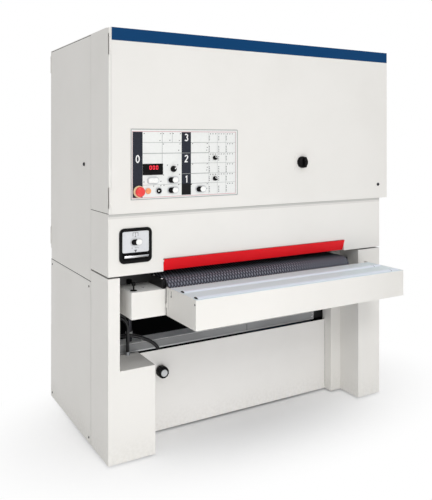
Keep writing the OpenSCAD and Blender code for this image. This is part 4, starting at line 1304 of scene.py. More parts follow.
@dataclass
class Key:
    """Twin rocking key with two round faces in a frame."""

    node: str
    x: float
    z: float
    y: float
    left: Finish
    face_share: float = 0.6
    lifts: Spot = (5.4, 6.6)
    foot: float = 3.2
    edge: float = 1.6
    pin_r: float = 1.4
    pin_half: float = KEY_H / 2 + 3.9
    pin_depth: float = 4.5

    def build(self) -> None:
        """Adds the key in place of its node."""
        shape = Shape()
        length = self.face_share * KEY_W
        face = round_rect(length, KEY_H, KEY_H / 2 - 0.01)
        for index, (side, lift) in enumerate(zip((-1, 1), self.lifts)):
            middle = self.x + side * (KEY_W - length) / 2
            shape.paint(index).slab(face, (middle, self.y - self.foot, self.z), lift, self.edge)
        shape.paint(0).lathe([(self.pin_r, -self.pin_half), (self.pin_r, self.pin_half)],
                             (self.x, self.y - self.pin_depth, self.z), UP, 16)
        dress(shape.finish(self.node + "_cap"), (self.left, Paints.white_key), self.node, (self.node,))


def key_frame(shape: Shape, x: float, y: float, z: float) -> None:
    """Adds the frame round a twin key.

    Args:
        shape: the shape that it is added to.
        x: middle of the key.
        y: surface that carries it.
        z: middle of the key.
    """
    gap, wall = 1.2, 4.0
    inner = round_rect(KEY_W + 2 * gap, KEY_H + 2 * gap, KEY_H / 2 + gap - 0.2)
    outer = round_rect(KEY_W + 2 * (gap + wall), KEY_H + 2 * (gap + wall), KEY_H / 2 + gap + wall - 0.2)
    shape.ring(outer, inner, (x, y + 0.5, z), 6.5, 1.2)


@dataclass
class Digit:
    """Plain numeral drawn with strokes on a grid of one by two."""

    strokes: Tuple[Outline, ...]

    def draw(self, shape: Shape, x: float, z: float, y: float, height: float, thick: float) -> None:
        """Adds the numeral as flat strips.

        Args:
            shape: the shape that it is added to.
            x: middle.
            z: middle.
            y: depth of the print.
            height: height of the numeral.
            thick: width of a stroke.
        """
        for stroke in self.strokes:
            line = [Vector((x + (a - 0.5) * height * 0.5, z + (b - 1.0) * height / 2)) for a, b in stroke]
            closed = (line[0] - line[-1]).length < 0.01
            rim: List[Vector] = []
            for i, p in enumerate(line):
                before = line[i - 1] if i else (line[-2] if closed else p * 2 - line[1])
                after = line[i + 1] if i + 1 < len(line) else (line[1] if closed else p * 2 - line[-2])
                first, second = (p - before).normalized(), (after - p).normalized()
                along = (first + second).normalized()
                half = thick / 2 / max(0.5, along.dot(first))
                side = Vector((-along.y, along.x)) * half
                rim += [p + side, p - side]
            depth = y - shape.print_lift()
            points = [place(a, depth, b) for a, b in rim]
            shape.add_faces(points, [[i, i + 1, i + 3, i + 2] for i in range(0, len(points) - 2, 2)])


def arc(x: float, z: float, r: float, start: float, end: float, steps: int = 10,
        tall: float = 1.0) -> Outline:
    """Gives points along a circle's arc.

    Args:
        x: middle.
        z: middle.
        r: radius.
        start: first angle in degrees.
        end: last angle in degrees.
        steps: number of steps.
        tall: stretch along Z.

    Returns:
        The points.
    """
    angles = [math.radians(start + (end - start) * k / steps) for k in range(steps + 1)]
    return [(x + r * math.cos(a), z + r * tall * math.sin(a)) for a in angles]


NUMERALS = {
    0: Digit((arc(0.5, 1.0, 0.45, 0, 360, 24, 2.05),)),
    1: Digit((((0.2, 1.6), (0.58, 1.9), (0.58, 0.08)),)),
    2: Digit((tuple(arc(0.5, 1.45, 0.44, 165, -25, 12)) + ((0.1, 0.1), (0.95, 0.1)),)),
    3: Digit((arc(0.48, 1.47, 0.42, 150, -85, 12), arc(0.48, 0.55, 0.47, 85, -150, 12))),
}


@dataclass
class Fascia:
    """Printed control fascia on the door, with everything that is set in it."""

    x: float = 108.0
    z: float = 1240.0
    w: float = 596.0
    h: float = 339.0
    face: float = -3.0
    print_gap: float = 0.15
    rows: Tuple[float, ...] = (0.955, 0.805, 0.652, 0.5, 0.35, 0.205, 0.042)
    columns: Tuple[float, ...] = (0.71, 0.793, 0.878, 0.975)
    left_strip: Spot = (0.016, 0.101)
    middle_strip: Spot = (0.451, 0.538)
    strip_tab: Tuple[Spot, Spot] = ((0.538, 0.547), (0.185, 0.2))
    strip_rule: Spot = (0.455, 0.534)
    split: float = 0.274
    fine_split: float = 0.366
    keys: Tuple[Tuple[str, float, float], ...] = (
        ("thickness_rocker", 0.191, 0.268), ("twin_key_1", 0.371, 0.266), ("twin_key_2", 0.371, 0.12),
        ("twin_key_3", 0.631, 0.118))
    stop: Spot = (0.069, 0.118)
    lamp: Spot = (0.149, 0.121)
    button: Spot = (0.242, 0.118)
    display: Spot = (0.191, 0.425)
    numerals: Tuple[Tuple[int, float, float], ...] = (
        (0, 0.059, 0.575), (3, 0.495, 0.878), (2, 0.495, 0.57), (1, 0.497, 0.267))
    numeral_h: float = 35.0
    numeral_stroke: float = 5.6
    window_half: Spot = (53.0, 27.0)
    first_digit: Spot = (-13.0, 8.5)
    digit_step: float = 17.0
    loose_marks: Tuple[Spot, ...] = (
        (0.115, 0.932), (0.262, 0.932), (0.286, 0.932), (0.347, 0.932), (0.373, 0.932), (0.44, 0.932),
        (0.254, 0.833), (0.343, 0.836), (0.43, 0.833), (0.284, 0.783), (0.436, 0.783), (0.424, 0.692),
        (0.286, 0.34), (0.432, 0.342), (0.113, 0.25), (0.262, 0.252), (0.424, 0.246), (0.198, 0.188),
        (0.262, 0.188), (0.29, 0.192), (0.424, 0.196), (0.554, 0.787), (0.694, 0.787), (0.694, 0.73),
        (0.69, 0.69), (0.554, 0.487), (0.694, 0.487), (0.694, 0.435), (0.69, 0.395), (0.694, 0.19),
        (0.69, 0.12), (0.32, 0.48), (0.415, 0.48))
    tick: Tuple[Spot, ...] = ((-3.0, -1.2), (-1.0, -2.4), (2.6, -1.0), (3.2, 1.4), (0.6, 2.6), (-2.4, 1.8))

    def at(self, u: float, v: float) -> Spot:
        """Gives the place of a share of the fascia.

        Args:
            u: share of its width.
            v: share of its height.

        Returns:
            X and Z in corner millimetres.
        """
        return (self.x + u * self.w, self.z + v * self.h)

    def bar(self, shape: Shape, u: Spot, v: Spot, layer: int = 1) -> None:
        """Adds a printed bar between shares.

        Args:
            shape: the print.
            u: limits across.
            v: limits upwards.
            layer: which layer of ink it is.
        """
        a, b = self.at(u[0], v[0])
        c, d = self.at(u[1], v[1])
        shape.rect((a, c), (b, d), self.face - layer * self.print_gap)

    def line(self, shape: Shape, u: Spot, v: Spot, thick: float, layer: int = 1) -> None:
        """Adds a printed line of a given width, level or upright.

        Args:
            shape: the print.
            u: start and end across.
            v: start and end upwards.
            thick: width in millimetres.
            layer: which layer of ink it is.
        """
        a, b = self.at(u[0], v[0])
        c, d = self.at(u[1], v[1])
        half = thick / 2
        if abs(c - a) > abs(d - b):
            shape.rect((a, c), (b - half, b + half), self.face - layer * self.print_gap)
        else:
            shape.rect((a - half, a + half), (b, d), self.face - layer * self.print_gap)

    def build(self) -> None:
        """Adds the plate, the print, the display and the frames of the controls."""
        self.build_plate()
        self.build_print()
        self.build_marks()
        self.build_display()

    def build_plate(self) -> None:
        """Adds the plate with the key frames, the lamp and the stop's collar."""
        shape = Shape()
        shape.paint(0).box((self.x, self.x + self.w), (self.face, 0), (self.z, self.z + self.h), 0.8)
        shape.paint(1)
        for _, u, v in self.keys:
            a, b = self.at(u, v)
            key_frame(shape, a, self.face, b)
        a, b = self.at(*self.button)
        shape.ring(disc(17.4), disc(13.4), (a, self.face + 0.5, b), 6.5, 1.0)
        a, b = self.at(*self.stop)
        shape.paint(2).lathe([(28, -0.5), (28, 5.2), (27.2, 7.0), (25.0, 8.0), (12.6, 8.0), (12.6, -0.5)],
                             (a, self.face, b), FRONT)
        a, b = self.at(*self.lamp)
        shape.paint(1).lathe([(15, -0.5), (15, 3.0), (14, 4.0), (12.6, 4.0), (12.6, -0.5)],
                             (a, self.face, b), FRONT)
        shape.paint(3).lathe([(14.4, -0.4), (14.4, 4.6), (13.2, 6.0), (9.0, 6.8), (3.0, 7.0), (0.1, 7.0)],
                             (a, self.face, b), FRONT)
        dress(shape.finish("fascia_plate"), (Paints.film, Paints.grey, Paints.cream, Paints.amber),
              Body.DOOR.value, ("control_fascia",))

    def build_print(self) -> None:
        """Adds the frame lines, the dark strips, the cells and the numerals."""
        shape = Shape()
        top, second, third, _, fifth, sixth, low = self.rows
        shape.paint(0)
        across, upwards = (0.004, 0.996), (0.008, 0.992)
        for v in upwards:
            self.line(shape, across, (v, v), 4.0)
        for u in across:
            self.line(shape, (u, u), upwards, 4.0)
        for v, thick in ((second, 1.8), (third, 3.4), (sixth, 1.5)):
            self.line(shape, (self.left_strip[1], self.middle_strip[0]), (v, v), thick)
        self.line(shape, (self.split, self.split), (fifth, top), 2.2)
        self.line(shape, (self.fine_split, self.fine_split), (second, top), 1.5)
        for i, v in enumerate(self.rows[1:-1]):
            self.line(shape, (self.middle_strip[1], self.columns[0]), (v, v), 3.4 if i % 2 else 2.4)
            self.line(shape, (self.columns[0], self.columns[-1]), (v, v), 1.4)
        for u in self.columns:
            self.line(shape, (u, u), (low, top), 1.4)
        shape.paint(1)
        across, upwards = (0.012, 0.978), (low - 0.012, top + 0.006)
        for v in upwards[::-1]:
            self.line(shape, across, (v, v), 2.6)
        for u in across:
            self.line(shape, (u, u), upwards, 1.6)
        shape.paint(2)
        self.bar(shape, self.left_strip, (low - 0.008, top), 2)
        self.bar(shape, self.middle_strip, (sixth, top), 2)
        shape.paint(3)
        self.bar(shape, self.middle_strip, (low, sixth), 2)
        self.bar(shape, *self.strip_tab, 2)
        shape.paint(0)
        for v in (third, fifth):
            self.line(shape, self.strip_rule, (v, v), 1.8, 3)
        shape.paint(4)
        for number, u, v in self.numerals:
            a, b = self.at(u, v)
            depth = self.face - 3 * self.print_gap
            NUMERALS[number].draw(shape, a, b, depth, self.numeral_h, self.numeral_stroke)
        inks = (Paints.ink_grey, Paints.ink_rose, Paints.ink, Paints.ink_dark, Paints.ink_white)
        dress(shape.finish("fascia_print", False), inks, Body.DOOR.value)

    def build_marks(self) -> None:
        """Adds the small repeated tick marks of the cells."""
        points: List[Vec3] = []
        y = self.face - 2 * self.print_gap
        for row, v in enumerate(self.rows[:-1]):
            for col, u in enumerate(self.columns[:-1]):
                marks = (0.016, 0.04, 0.066) if row % 2 == 0 or col == 2 else ()
                for du in marks:
                    a, b = self.at(u + du, v - 0.022)
                    points.append((a, y, b))
                for dv in (0.06, 0.085, 0.112, 0.135)[:3 if row % 2 == 0 else 4]:
                    a, b = self.at(u + 0.004 + 0.01 * (col == 1), v - dv)
                    points.append((a, y, b))
        for u, v in self.loose_marks:
            a, b = self.at(u, v)
            points.append((a, y, b))
        unit = origin_shape(lambda s: s.polygon([(ORIGIN_X + a, b) for a, b in self.tick], ORIGIN_Y), "tick")
        marks = repeat("fascia_marks", unit, points, UPRIGHT, Paints.ink_mark)
        dress(marks, (Paints.ink_mark,), Body.DOOR.value)

    def build_display(self) -> None:
        """Adds the display window and its lit numbers."""
        a, b = self.at(*self.display)
        shape = Shape()
        wide, high = self.window_half
        shape.box((a - wide, a + wide), (self.face - 3, self.face + 0.5), (b - high, b + high), 1.0)
        dress(shape.finish("display_window"), (Paints.screen,), Body.DOOR.value)
        lit = Shape()
        outer, inner = round_rect(11, 18, 2.2, 3), round_rect(6.6, 13.6, 1.2, 3)
        for i in range(3):
            x, z = a + self.first_digit[0] + self.digit_step * i, b + self.first_digit[1]
            lit.ring(outer, inner, (x, self.face - 2.9, z), 0.4, 0.1)
        dress(lit.finish("lit_numbers", False), (Paints.lit,), Body.DOOR.value)


@dataclass
class Controls:
    """Stop, buttons, selectors, switch, locks and knobs that replace their plain nodes."""

    fascia: Fascia
    stop_profile: Outline = (
        (8, -18), (8, 8.5), (12, 14.3), (22.5, 14.6), (24, 16.2), (24, 20.5), (22.6, 24), (19, 26.6), (13, 28),
        (6, 28.3), (0.1, 28.3))
    button_profile: Outline = (
        (5, -21), (5, 4.3), (13, 4.3), (13, 7.6), (12.2, 9.0), (9.5, 9.3), (5.5, 8.6), (0.1, 8.5))
    selectors: Tuple[Tuple[str, float, float, float, float], ...] = (
        ("mode_selector", 0.374, 0.425, 15.0, 42), ("selector_2", 0.767, 0.575, 11.0, -40),
        ("selector_3", 0.767, 0.266, 11.0, -40))
    switch_at: Vec3 = (1122.0, -3.0, 1403.0)
    switch_profile: Outline = (
        (6, -24), (6, 0.3), (32, 0.3), (32, 12), (30.5, 18), (27, 22.5), (21, 24.2), (0.1, 24.3))
    locks: Tuple[Tuple[str, Vec3, Vector, float, float], ...] = (
        ("door_lock", (1698.5, 0.0, 1260.0), FRONT, 4.9, 70.0),
        ("side_lock", (0.0, 348.0, 1402.0), LEFT, 5.9, 36.0))
    panel_knob_at: Vec3 = (368.0, 222.0, 322.0)
    panel_knob_profile: Outline = (
        (8, -23), (8, 0.3), (22, 0.3), (26, 3), (29.8, 9), (29.8, 40), (28.4, 45), (25.4, 47.6), (19, 48.2),
        (0.1, 48.2))
    panel_knob_cap: Outline = ((17.6, 47.8), (17.6, 49.2), (16.4, 50.2), (0.1, 50.2))
    tension_knob_at: Vec3 = (135.0, 27.0, 806.0)
    tension_knob_profile: Outline = (
        (7, -7.3), (7, -3.3), (4, -3.3), (4, 0.3), (16.8, 0.3), (16.8, 1.8), (15, 2.6), (5.4, 3.6), (4, 6),
        (4, 22), (8, 24), (9, 25.4), (9, 39), (8, 40.6), (5, 41.2), (0.1, 41.3))

    @staticmethod
    def retain(shape: Shape, at: Vec3, r: float, back: float = -7.3, front: float = -3.3,
               segments: int = 32) -> None:
        """Adds the ring that holds a control's stem behind the sheet.

        Args:
            shape: the control's shape.
            at: start of its axis.
            r: radius of its stem.
            back: back face of the ring.
            front: front face of the ring.
            segments: steps round the ring.
        """
        shape.lathe([(r, back), (r + 3, back), (r + 3, front), (r, front)], at, FRONT, segments)

    def build(self) -> None:
        """Adds every control."""
        self.build_keys()
        self.build_stop()
        self.build_button()
        for selector in self.selectors:
            self.build_selector(*selector)
        self.build_switch()
        for lock in self.locks:
            self.build_lock(*lock)
        self.build_panel_knob()
        self.build_tension_knob()

    def build_keys(self) -> None:
        """Adds the rocker and the twin keys."""
        for node, u, v in self.fascia.keys:
            x, z = self.fascia.at(u, v)
            left = Paints.white_key if node == "thickness_rocker" else Paints.black
            Key(node, x, z, self.fascia.face, left).build()

    def build_stop(self) -> None:
        """Adds the mushroom stop."""
        x, z = self.fascia.at(*self.fascia.stop)
        at = (x, self.fascia.face, z)
        shape = Shape().lathe(self.stop_profile, at, FRONT, 56)
        self.retain(shape, at, 8, front=-3.4)
        dress(shape.finish("stop_head"), (Paints.red_key,), "emergency_stop", ("emergency_stop",))

    def build_button(self) -> None:
        """Adds the round button with its pale middle."""
        x, z = self.fascia.at(*self.fascia.button)
        at = (x, self.fascia.face, z)
        shape = Shape().lathe(self.button_profile, at, FRONT)
        self.retain(shape, at, 5)
        shape.paint(1).polygon([(x + a - 1.5, z + b) for a, b in ((-3.5, -4.5), (6, 0), (-3.5, 4.5))],
                               self.fascia.face - 8.9)
        dress(shape.finish("reset_cap"), (Paints.black, Paints.white_key), "reset_button",
              ("reset_button",))

    def build_selector(self, node: str, u: float, v: float, r: float, turn: float) -> None:
        """Adds a selector with a pale pointer.

        Args:
            node: the CAD node.
            u: share of the fascia's width.
            v: share of its height.
            r: radius.
            turn: turn of its pointer from upright, in degrees.
        """
        x, z = self.fascia.at(u, v)
        at = (x, self.fascia.face, z)
        profile = [(4, -21), (4, 0.3), (r, 0.3), (r, 9), (r - 1.2, 11.5), (r - 3, 13), (0.1, 13.2)]
        shape = Shape().lathe(profile, at, FRONT, 40)
        self.retain(shape, at, 4, segments=24)
        spin = Matrix.Rotation(math.radians(turn), 3, "Y")
        grip = round_rect(0.5 * r, 1.86 * r, 0.22 * r, 4)
        shape.slab(grip, (x, self.fascia.face - 12.5, z), 7.2, 1.2, turn=spin)
        pointer = [(a, b + 0.42 * r) for a, b in round_rect(0.34 * r, 0.86 * r, 0.16 * r, 4)]
        shape.paint(1).slab(pointer, (x, self.fascia.face - 19.2, z), 0.7, turn=spin)
        dress(shape.finish(node + "_knob"), (Paints.black, Paints.white_key), node, (node,))

    def build_switch(self) -> None:
        """Adds the main switch."""
        x, _, z = self.switch_at
        shape = Shape().lathe(self.switch_profile, self.switch_at, FRONT, 64, 12, 1.2)
        self.retain(shape, self.switch_at, 6, -10.3, -6.3)
        shape.slab(round_rect(14, 57, 6, 5), (x, -26.0, z), 15.3, 3.0)
        shape.paint(1).slab(round_rect(3.2, 14, 1.4, 4), (x, -41.0, z + 18.0), 0.3)
        dress(shape.finish("main_switch_knob"), (Paints.black, Paints.white_key), "main_switch",
              ("main_switch",))

    def build_lock(self, node: str, at: Vec3, axis: Vector, head: float, cam: float) -> None:
        """Adds a quarter-turn lock with its key slot.

        Args:
            node: the CAD node.
            at: place on the door's face.
            axis: direction out of the door.
            head: height of the head.
            cam: length of the cam below the axis.
        """
        profile = [(6, -10), (6, 0.3), (9, 0.3), (9, head - 1.2), (8, head - 0.1), (5.2, head - 0.1),
                   (4.6, head - 1.4), (0.1, head - 1.4)]
        shape = Shape().lathe(profile, at, axis, 36)
        side = UP.cross(axis)
        plate = [UP * z + side * s for z, s in ((-cam, 7), (-cam, -7), (9, -7), (9, 7))]
        points = [place(*at) + (p + axis * d) * MM for d in (-6.0, -10.0) for p in plate]
        shape.add_faces(points, [[0, 1, 2, 3], [7, 6, 5, 4], [0, 4, 5, 1], [1, 5, 6, 2], [2, 6, 7, 3],
                                 [3, 7, 4, 0]])
        # Flat near-black key slot: painted shade of the slot.
        shape.paint(1)
        slot = [UP * z + side * s for z, s in ((-3.6, 0.9), (-3.6, -0.9), (3.6, -0.9), (3.6, 0.9))]
        shape.add_faces([place(*at) + (p + axis * (head - 1.3)) * MM for p in slot], [[0, 1, 2, 3]])
        dress(shape.finish(node + "_body"), (Paints.dark_steel, Paints.gap), node, (node,))

    def build_panel_knob(self) -> None:
        """Adds the fluted knob on the front base panel."""
        at = self.panel_knob_at
        shape = Shape().lathe(self.panel_knob_profile, at, FRONT, 96, 12, 2.4)
        self.retain(shape, at, 8)
        shape.paint(1).lathe(self.panel_knob_cap, at, FRONT, 48)
        dress(shape.finish("panel_knob_body"), (Paints.black, Paints.grey), "panel_knob",
              ("panel_knob",))

    def build_tension_knob(self) -> None:
        """Adds the stem knob on the end box."""
        shape = Shape().lathe(self.tension_knob_profile, self.tension_knob_at, UP, 48)
        dress(shape.finish("tension_knob_body"), (Paints.black,), "tension_knob",
              ("tension_knob",))


@dataclass
class Station:
    """Local station on the apron: black frame, pale plate, twin key, slot and polished lip."""

    x: float = 54.0
    z: float = 942.5
    w: float = 166.0
    h: float = 166.0
    face: float = 8.0
    key_z: float = 1041.25
    key_share: float = 0.52
    border: float = 14.0
    corner: float = 25.0
    plate_low: float = 50.0
    plate_high: float = 16.0
    lip_half: float = 62.0
    lip_r: float = 14.0
    lip_wall: float = 0.84
    lip_share: float = 0.14

    def build(self) -> None:
        """Adds the station in place of its nodes."""
        cx, cz = self.x + self.w / 2, self.z + self.h / 2
        shape = Shape()
        # The near-black backing shows through the slot below the plate: painted shade of the slot.
        shape.paint(0).slab(round_rect(self.w - 2, self.h - 2, self.corner - 1), (cx, self.face, cz), 2.6)
        outer = round_rect(self.w, self.h, self.corner, 10)
        inner = round_rect(self.w - 2 * self.border, self.h - 2 * self.border, self.corner - self.border, 10)
        shape.paint(1).ring(outer, inner, (cx, self.face, cz), 6.0, 1.6)
        plate_z = (self.z + self.plate_low, self.z + self.h - self.plate_high)
        plate = round_rect(self.w - 2 * self.border - 3, plate_z[1] - plate_z[0], 8, 8)
        shape.paint(2).slab(plate, (cx, self.face - 2.5, sum(plate_z) / 2), 0.9, 0.4)
        key_x, key_z = self.x + self.key_share * self.w, self.key_z
        shape.paint(3)
        key_frame(shape, key_x, self.face - 3.0, key_z)
        shape.paint(4)
        self.build_symbols(shape, key_x, self.face - 3.55)
        finishes = (Paints.gap, Paints.black, Paints.plate, Paints.grey, Paints.ink_mark)
        dress(shape.finish("station_body"), finishes, Body.FRAME.value, ("station_panel",))
        self.build_lip(cx)
        Key("station_key", key_x, key_z, self.face - 3.0, Paints.black).build()

    def build_symbols(self, shape: Shape, x: float, y: float) -> None:
        """Adds the plain raise and lower symbols.

        Args:
            shape: the station's shape.
            x: middle of the key.
            y: depth of the print.
        """
        z = self.key_z + 35.8
        for a in (-13, 0, 13):
            shape.rect((x - 5 + a - 1.0, x - 5 + a + 1.0), (z - 8, z + 8), y)
        shape.rect((x - 19, x + 9), (z + 8, z + 10), y)
        shape.rect((x - 9, x - 1), (z - 12, z - 9), y)
        low = self.key_z - 43.2
        shape.polygon([(x - 12, low + 7), (x - 4.5, low - 6), (x + 3, low + 7)], y)
        for a, w in ((-25, 7), (-9, 10), (5, 5)):
            shape.rect((x + a, x + a + w), (low + 15, low + 17.4), y)

    def build_lip(self, x: float) -> None:
        """Adds the polished lip under the slot.

        Args:
            x: middle of the station.
        """
        shape = Shape()
        half, z = self.lip_half, self.z + self.lip_share * self.h
        section = arc(0.0, 0.0, self.lip_r, 0, 90)
        rows = section + [(c * self.lip_wall, s * self.lip_wall) for c, s in section[::-1]]
        stations = ((-half, 0.9), (-half + 3, 1.0), (half - 3, 1.0), (half, 0.9))
        points = [place(x + along, self.face - 3.0 - out * pinch, z + self.lip_r - drop * pinch)
                  for along, pinch in stations for out, drop in rows]
        shape.add_faces(points, band_faces(len(stations), len(rows)))
        dress(shape.finish("station_lip"), (Paints.chrome,), Body.FRAME.value)


@dataclass
class Hoses:
    """Air hoses of the left bay with their fittings."""

    radius: float = 9.0
    nut: Outline = ((12, 0), (12, 7), (10.6, 8.5), (10.6, 16), (9.3, 17))
    nuts: Tuple[Tuple[Vec3, Vector], ...] = (
        ((58, 205, 640), RIGHT), ((178, 205, 440), UP), ((113, 262, 520), RIGHT))
    end_block: Tuple[Spot, Spot, Spot] = ((360, 384), (225, 246.8), (383, 403.5))
    routes: Tuple[Tuple[Vec3, ...], ...] = (
        ((74, 205, 640), (106, 205, 640), (124.6, 205, 637.5), (142, 205, 630.4), (156.9, 205, 618.9),
         (168.4, 205, 604), (175.5, 205, 586.6), (178, 205, 568), (178, 205, 530), (178, 205, 490),
         (178, 205, 456)),
        ((129, 262, 520), (150, 262, 520), (175, 260.5, 520.5), (205, 256, 519.5), (235, 248, 514.5),
         (265, 240.5, 505), (295, 235.5, 491.5), (322, 234.8, 475.5), (344, 234.8, 457), (360, 234.8, 436),
         (368.5, 234.8, 418), (372, 234.8, 403)))

    def build(self) -> None:
        """Adds the hoses in place of their node."""
        shape = Shape()
        for at, axis in self.nuts:
            shape.lathe(self.nut, at, axis, 24)
        shape.box(*self.end_block, 1.5)
        dress(shape.finish("hose_fittings"), (Paints.zinc,), Body.FRAME.value, ("air_hose",))
        for i, route in enumerate(self.routes):
            curve = bpy.data.curves.new("hose_%d" % (i + 1), "CURVE")
            curve.dimensions = "3D"
            curve.bevel_depth = self.radius * MM
            curve.bevel_resolution = 5
            curve.use_fill_caps = True
            points = self.smooth(route)
            spline = curve.splines.new("POLY")
            spline.points.add(len(points) - 1)
            for target, p in zip(spline.points, points):
                target.co = (*p, 1.0)
            obj = bpy.data.objects.new("hose_%d" % (i + 1), curve)
            bpy.context.scene.collection.objects.link(obj)
            dress(obj, (Paints.hose,), Body.FRAME.value)

    @staticmethod
    def smooth(route: Sequence[Vec3], steps: int = 4) -> List[Vector]:
        """Runs a smooth line through a route's points.

        Args:
            route: points in corner millimetres.
            steps: steps between two points.

        Returns:
            Points in metres.
        """
        p = [place(*q) for q in route]
        p = [p[0] * 2 - p[1]] + p + [p[-1] * 2 - p[-2]]
        line: List[Vector] = []
        for i in range(1, len(p) - 2):
            for k in range(steps):
                t = k / steps
                line.append(0.5 * (2 * p[i] + (p[i + 1] - p[i - 1]) * t
                                   + (2 * p[i - 1] - 5 * p[i] + 4 * p[i + 1] - p[i + 2]) * t * t
                                   + (3 * p[i] - p[i - 1] - 3 * p[i + 1] + p[i + 2]) * t ** 3))
        line.append(p[-2])
        return line


@dataclass
class Fasteners:
    """Screws and bolts, set out with geometry nodes."""

    right_x: float = 1718.0
    back_y: float = 957.0
    side_rows: Spot = (277.0, 927.0)
    left_heights: Spot = (37.0, 793.0)
    right_heights: Spot = (37.0, 1152.0)
    back_columns: Spot = (27.0, 1691.0)
    back_heights: Tuple[float, ...] = (37.0, 403.0, 1206.0, 2020.0)
    rail_bolts: Tuple[Vec3, ...] = ((280.0, 20.0, 849.0), (280.0, 110.0, 849.0))
    end_box_screw: Vec3 = (197.0, 62.0, 806.0)
    infeed_screws: Tuple[Vec3, ...] = ((283.0, -314.0, 795.4), (283.0, -77.7, 781.0))

    def build(self) -> None:
        """Adds the panel screws and the bolts of the table."""
        left = [(0.0, y, z) for y in self.side_rows for z in self.left_heights]
        right = [(self.right_x, y, z) for y in self.side_rows for z in self.right_heights]
        back = [(x, self.back_y, z) for x in self.back_columns for z in self.back_heights]
        for name, points, turn, swap in (
                ("left", left, TO_LEFT, ("panel_screws",)), ("right", right, TO_RIGHT, ()),
                ("back", back, TO_BACK, ())):
            screws = repeat("%s_screws" % name, self.button_head(6.0, 2.0), points, turn, Paints.black_screw)
            dress(screws, (Paints.black_screw,), Body.FRAME.value, swap)
        for name, r, h, points, turn, finish in (
                ("rail_bolts", 7.0, 2.6, self.rail_bolts, UPRIGHT, Paints.chrome),
                ("end_box_screw", 6.0, 2.4, (self.end_box_screw,), UPRIGHT, Paints.chrome),
                ("infeed_screws", 4.4, 1.6, self.infeed_screws, TO_LEFT, Paints.black_screw)):
            screws = repeat(name, self.button_head(r, h), points, turn, finish)
            dress(screws, (finish,), Body.TABLE.value)

    @staticmethod
    def button_head(r: float, h: float) -> bpy.types.Object:
        """Makes a button-head screw at the origin, with its socket.

        Args:
            r: radius.
            h: height.

        Returns:
            The unit.
        """
        profile = [(r, 0.0), (r, 0.25 * h), (0.86 * r, 0.75 * h), (0.6 * r, h), (0.42 * r, h),
                   (0.38 * r, 0.35 * h), (0.1, 0.3 * h)]
        return origin_shape(lambda s: s.lathe(profile, ZERO, UP, 24), "button_head")


@dataclass
class Seams:
    """Dark seals and slots in the joints of the panels, end caps of the rollers and trim of the beam."""

    proud: float = 0.35
    side_seals: Tuple[Tuple[Spot, Spot], ...] = (
        ((2.0, 249.0), (1179.4, 1182.2)), ((252.0, 948.0), (821.4, 824.0)))
    cheek_x: float = 283.0
    cheek_slots: Tuple[Tuple[Spot, Spot], ...] = (
        ((-79.3, -76.1), (781.0, 806.0)), ((-49.4, -47.8), (714.0, 805.0)))
    roller_rows: Spot = (-160.0, -290.0)
    roller_ends: Spot = (296.0, 1501.0)
    roller_z: float = 795.0
    cap: Outline = ((22, 0), (26.6, 1.6), (28.2, 4), (28.2, 6.2), (9, 6.2), (9, 0))
    beam_front: float = 245.0
    beam_trim: Tuple[Spot, Spot] = ((60.0, 1407.0), (433.0, 440.0))
    beam_seam: Tuple[Spot, Spot] = ((921.0, 923.4), (441.0, 478.0))
    beam_bolt_x: float = 1398.0
    beam_bolt_rows: Spot = (452.0, 470.0)
    panel_front: float = 222.0
    panel_joint: Tuple[Spot, Spot] = ((1474.8, 1477.2), (20.0, 428.0))
    collar: Outline = ((15.3, 0), (18, 1.5), (18, 19.5), (15.3, 21))
    collar_at: Vec3 = (220.0, 290.0, 509.0)

    def build(self) -> None:
        """Adds the seals, the cheek's slots, the rollers' end caps and the trim of the left bay."""
        seals = Shape()
        for y, z in self.side_seals:
            seals.box((-self.proud, 1.5), y, z, 0.3)
        dress(seals.finish("panel_seals"), (Paints.gap,), Body.FRAME.value)
        cheek = Shape()
        # The first cheek slot is a near-black strip: painted shade of the slot.
        for index, (y, z) in enumerate(self.cheek_slots):
            cheek.paint(index).box((self.cheek_x - self.proud, self.cheek_x + 1), y, z, 0.3)
        dress(cheek.finish("cheek_slots"), (Paints.gap, Paints.ink_grey), Body.TABLE.value)
        caps = Shape()
        for y in self.roller_rows:
            for x, axis in zip(self.roller_ends, (RIGHT, LEFT)):
                caps.lathe(self.cap, (x, y, self.roller_z), axis, 40)
        dress(caps.finish("roller_end_caps"), (Paints.black,), Body.TABLE.value)
        self.build_bay()

    def build_bay(self) -> None:
        """Adds the trim of the front beam, the panel's end joint and the collar of the left lift screw."""
        trim, front = Shape(), self.beam_front
        x, z = self.beam_trim
        trim.paint(0).box(x, (front - 0.8, front + 0.4), z, 0.3)
        x, z = self.beam_seam
        trim.paint(1).box(x, (front - self.proud, front + 0.6), z, 0.1)
        dress(trim.finish("beam_trim"), (Paints.trim, Paints.gap), Body.FRAME.value)
        places = [(self.beam_bolt_x, front, z) for z in self.beam_bolt_rows]
        bolts = repeat("beam_bolts", Fasteners.button_head(5.0, 2.2), places, TO_FRONT, Paints.chrome)
        dress(bolts, (Paints.chrome,), Body.FRAME.value)
        x, z = self.panel_joint
        joint = Shape().box(x, (self.panel_front - self.proud, self.panel_front + 0.6), z, 0.1)
        dress(joint.finish("panel_joint"), (Paints.gap,), Body.FRAME.value)
        collar = Shape().lathe(self.collar, self.collar_at, UP, 32)
        dress(collar.finish("screw_collar"), (Paints.white_key,), Body.FRAME.value)


@dataclass(frozen=True)
class Lamp:
    """Square soft box."""

    name: str
    at: Vec3
    aim: Vec3
    size: float
    power: float

    def build(self) -> None:
        """Adds the lamp."""
        data = bpy.data.lights.new(self.name, "AREA")
        data.shape = "SQUARE"
        data.size = self.size
        data.energy = self.power
        lamp = bpy.data.objects.new(self.name, data)
        lamp.location = self.at
        lamp.rotation_euler = (Vector(self.at) - Vector(self.aim)).to_track_quat("Z", "Y").to_euler()
        lamp.visible_camera = False
        bpy.context.scene.collection.objects.link(lamp)


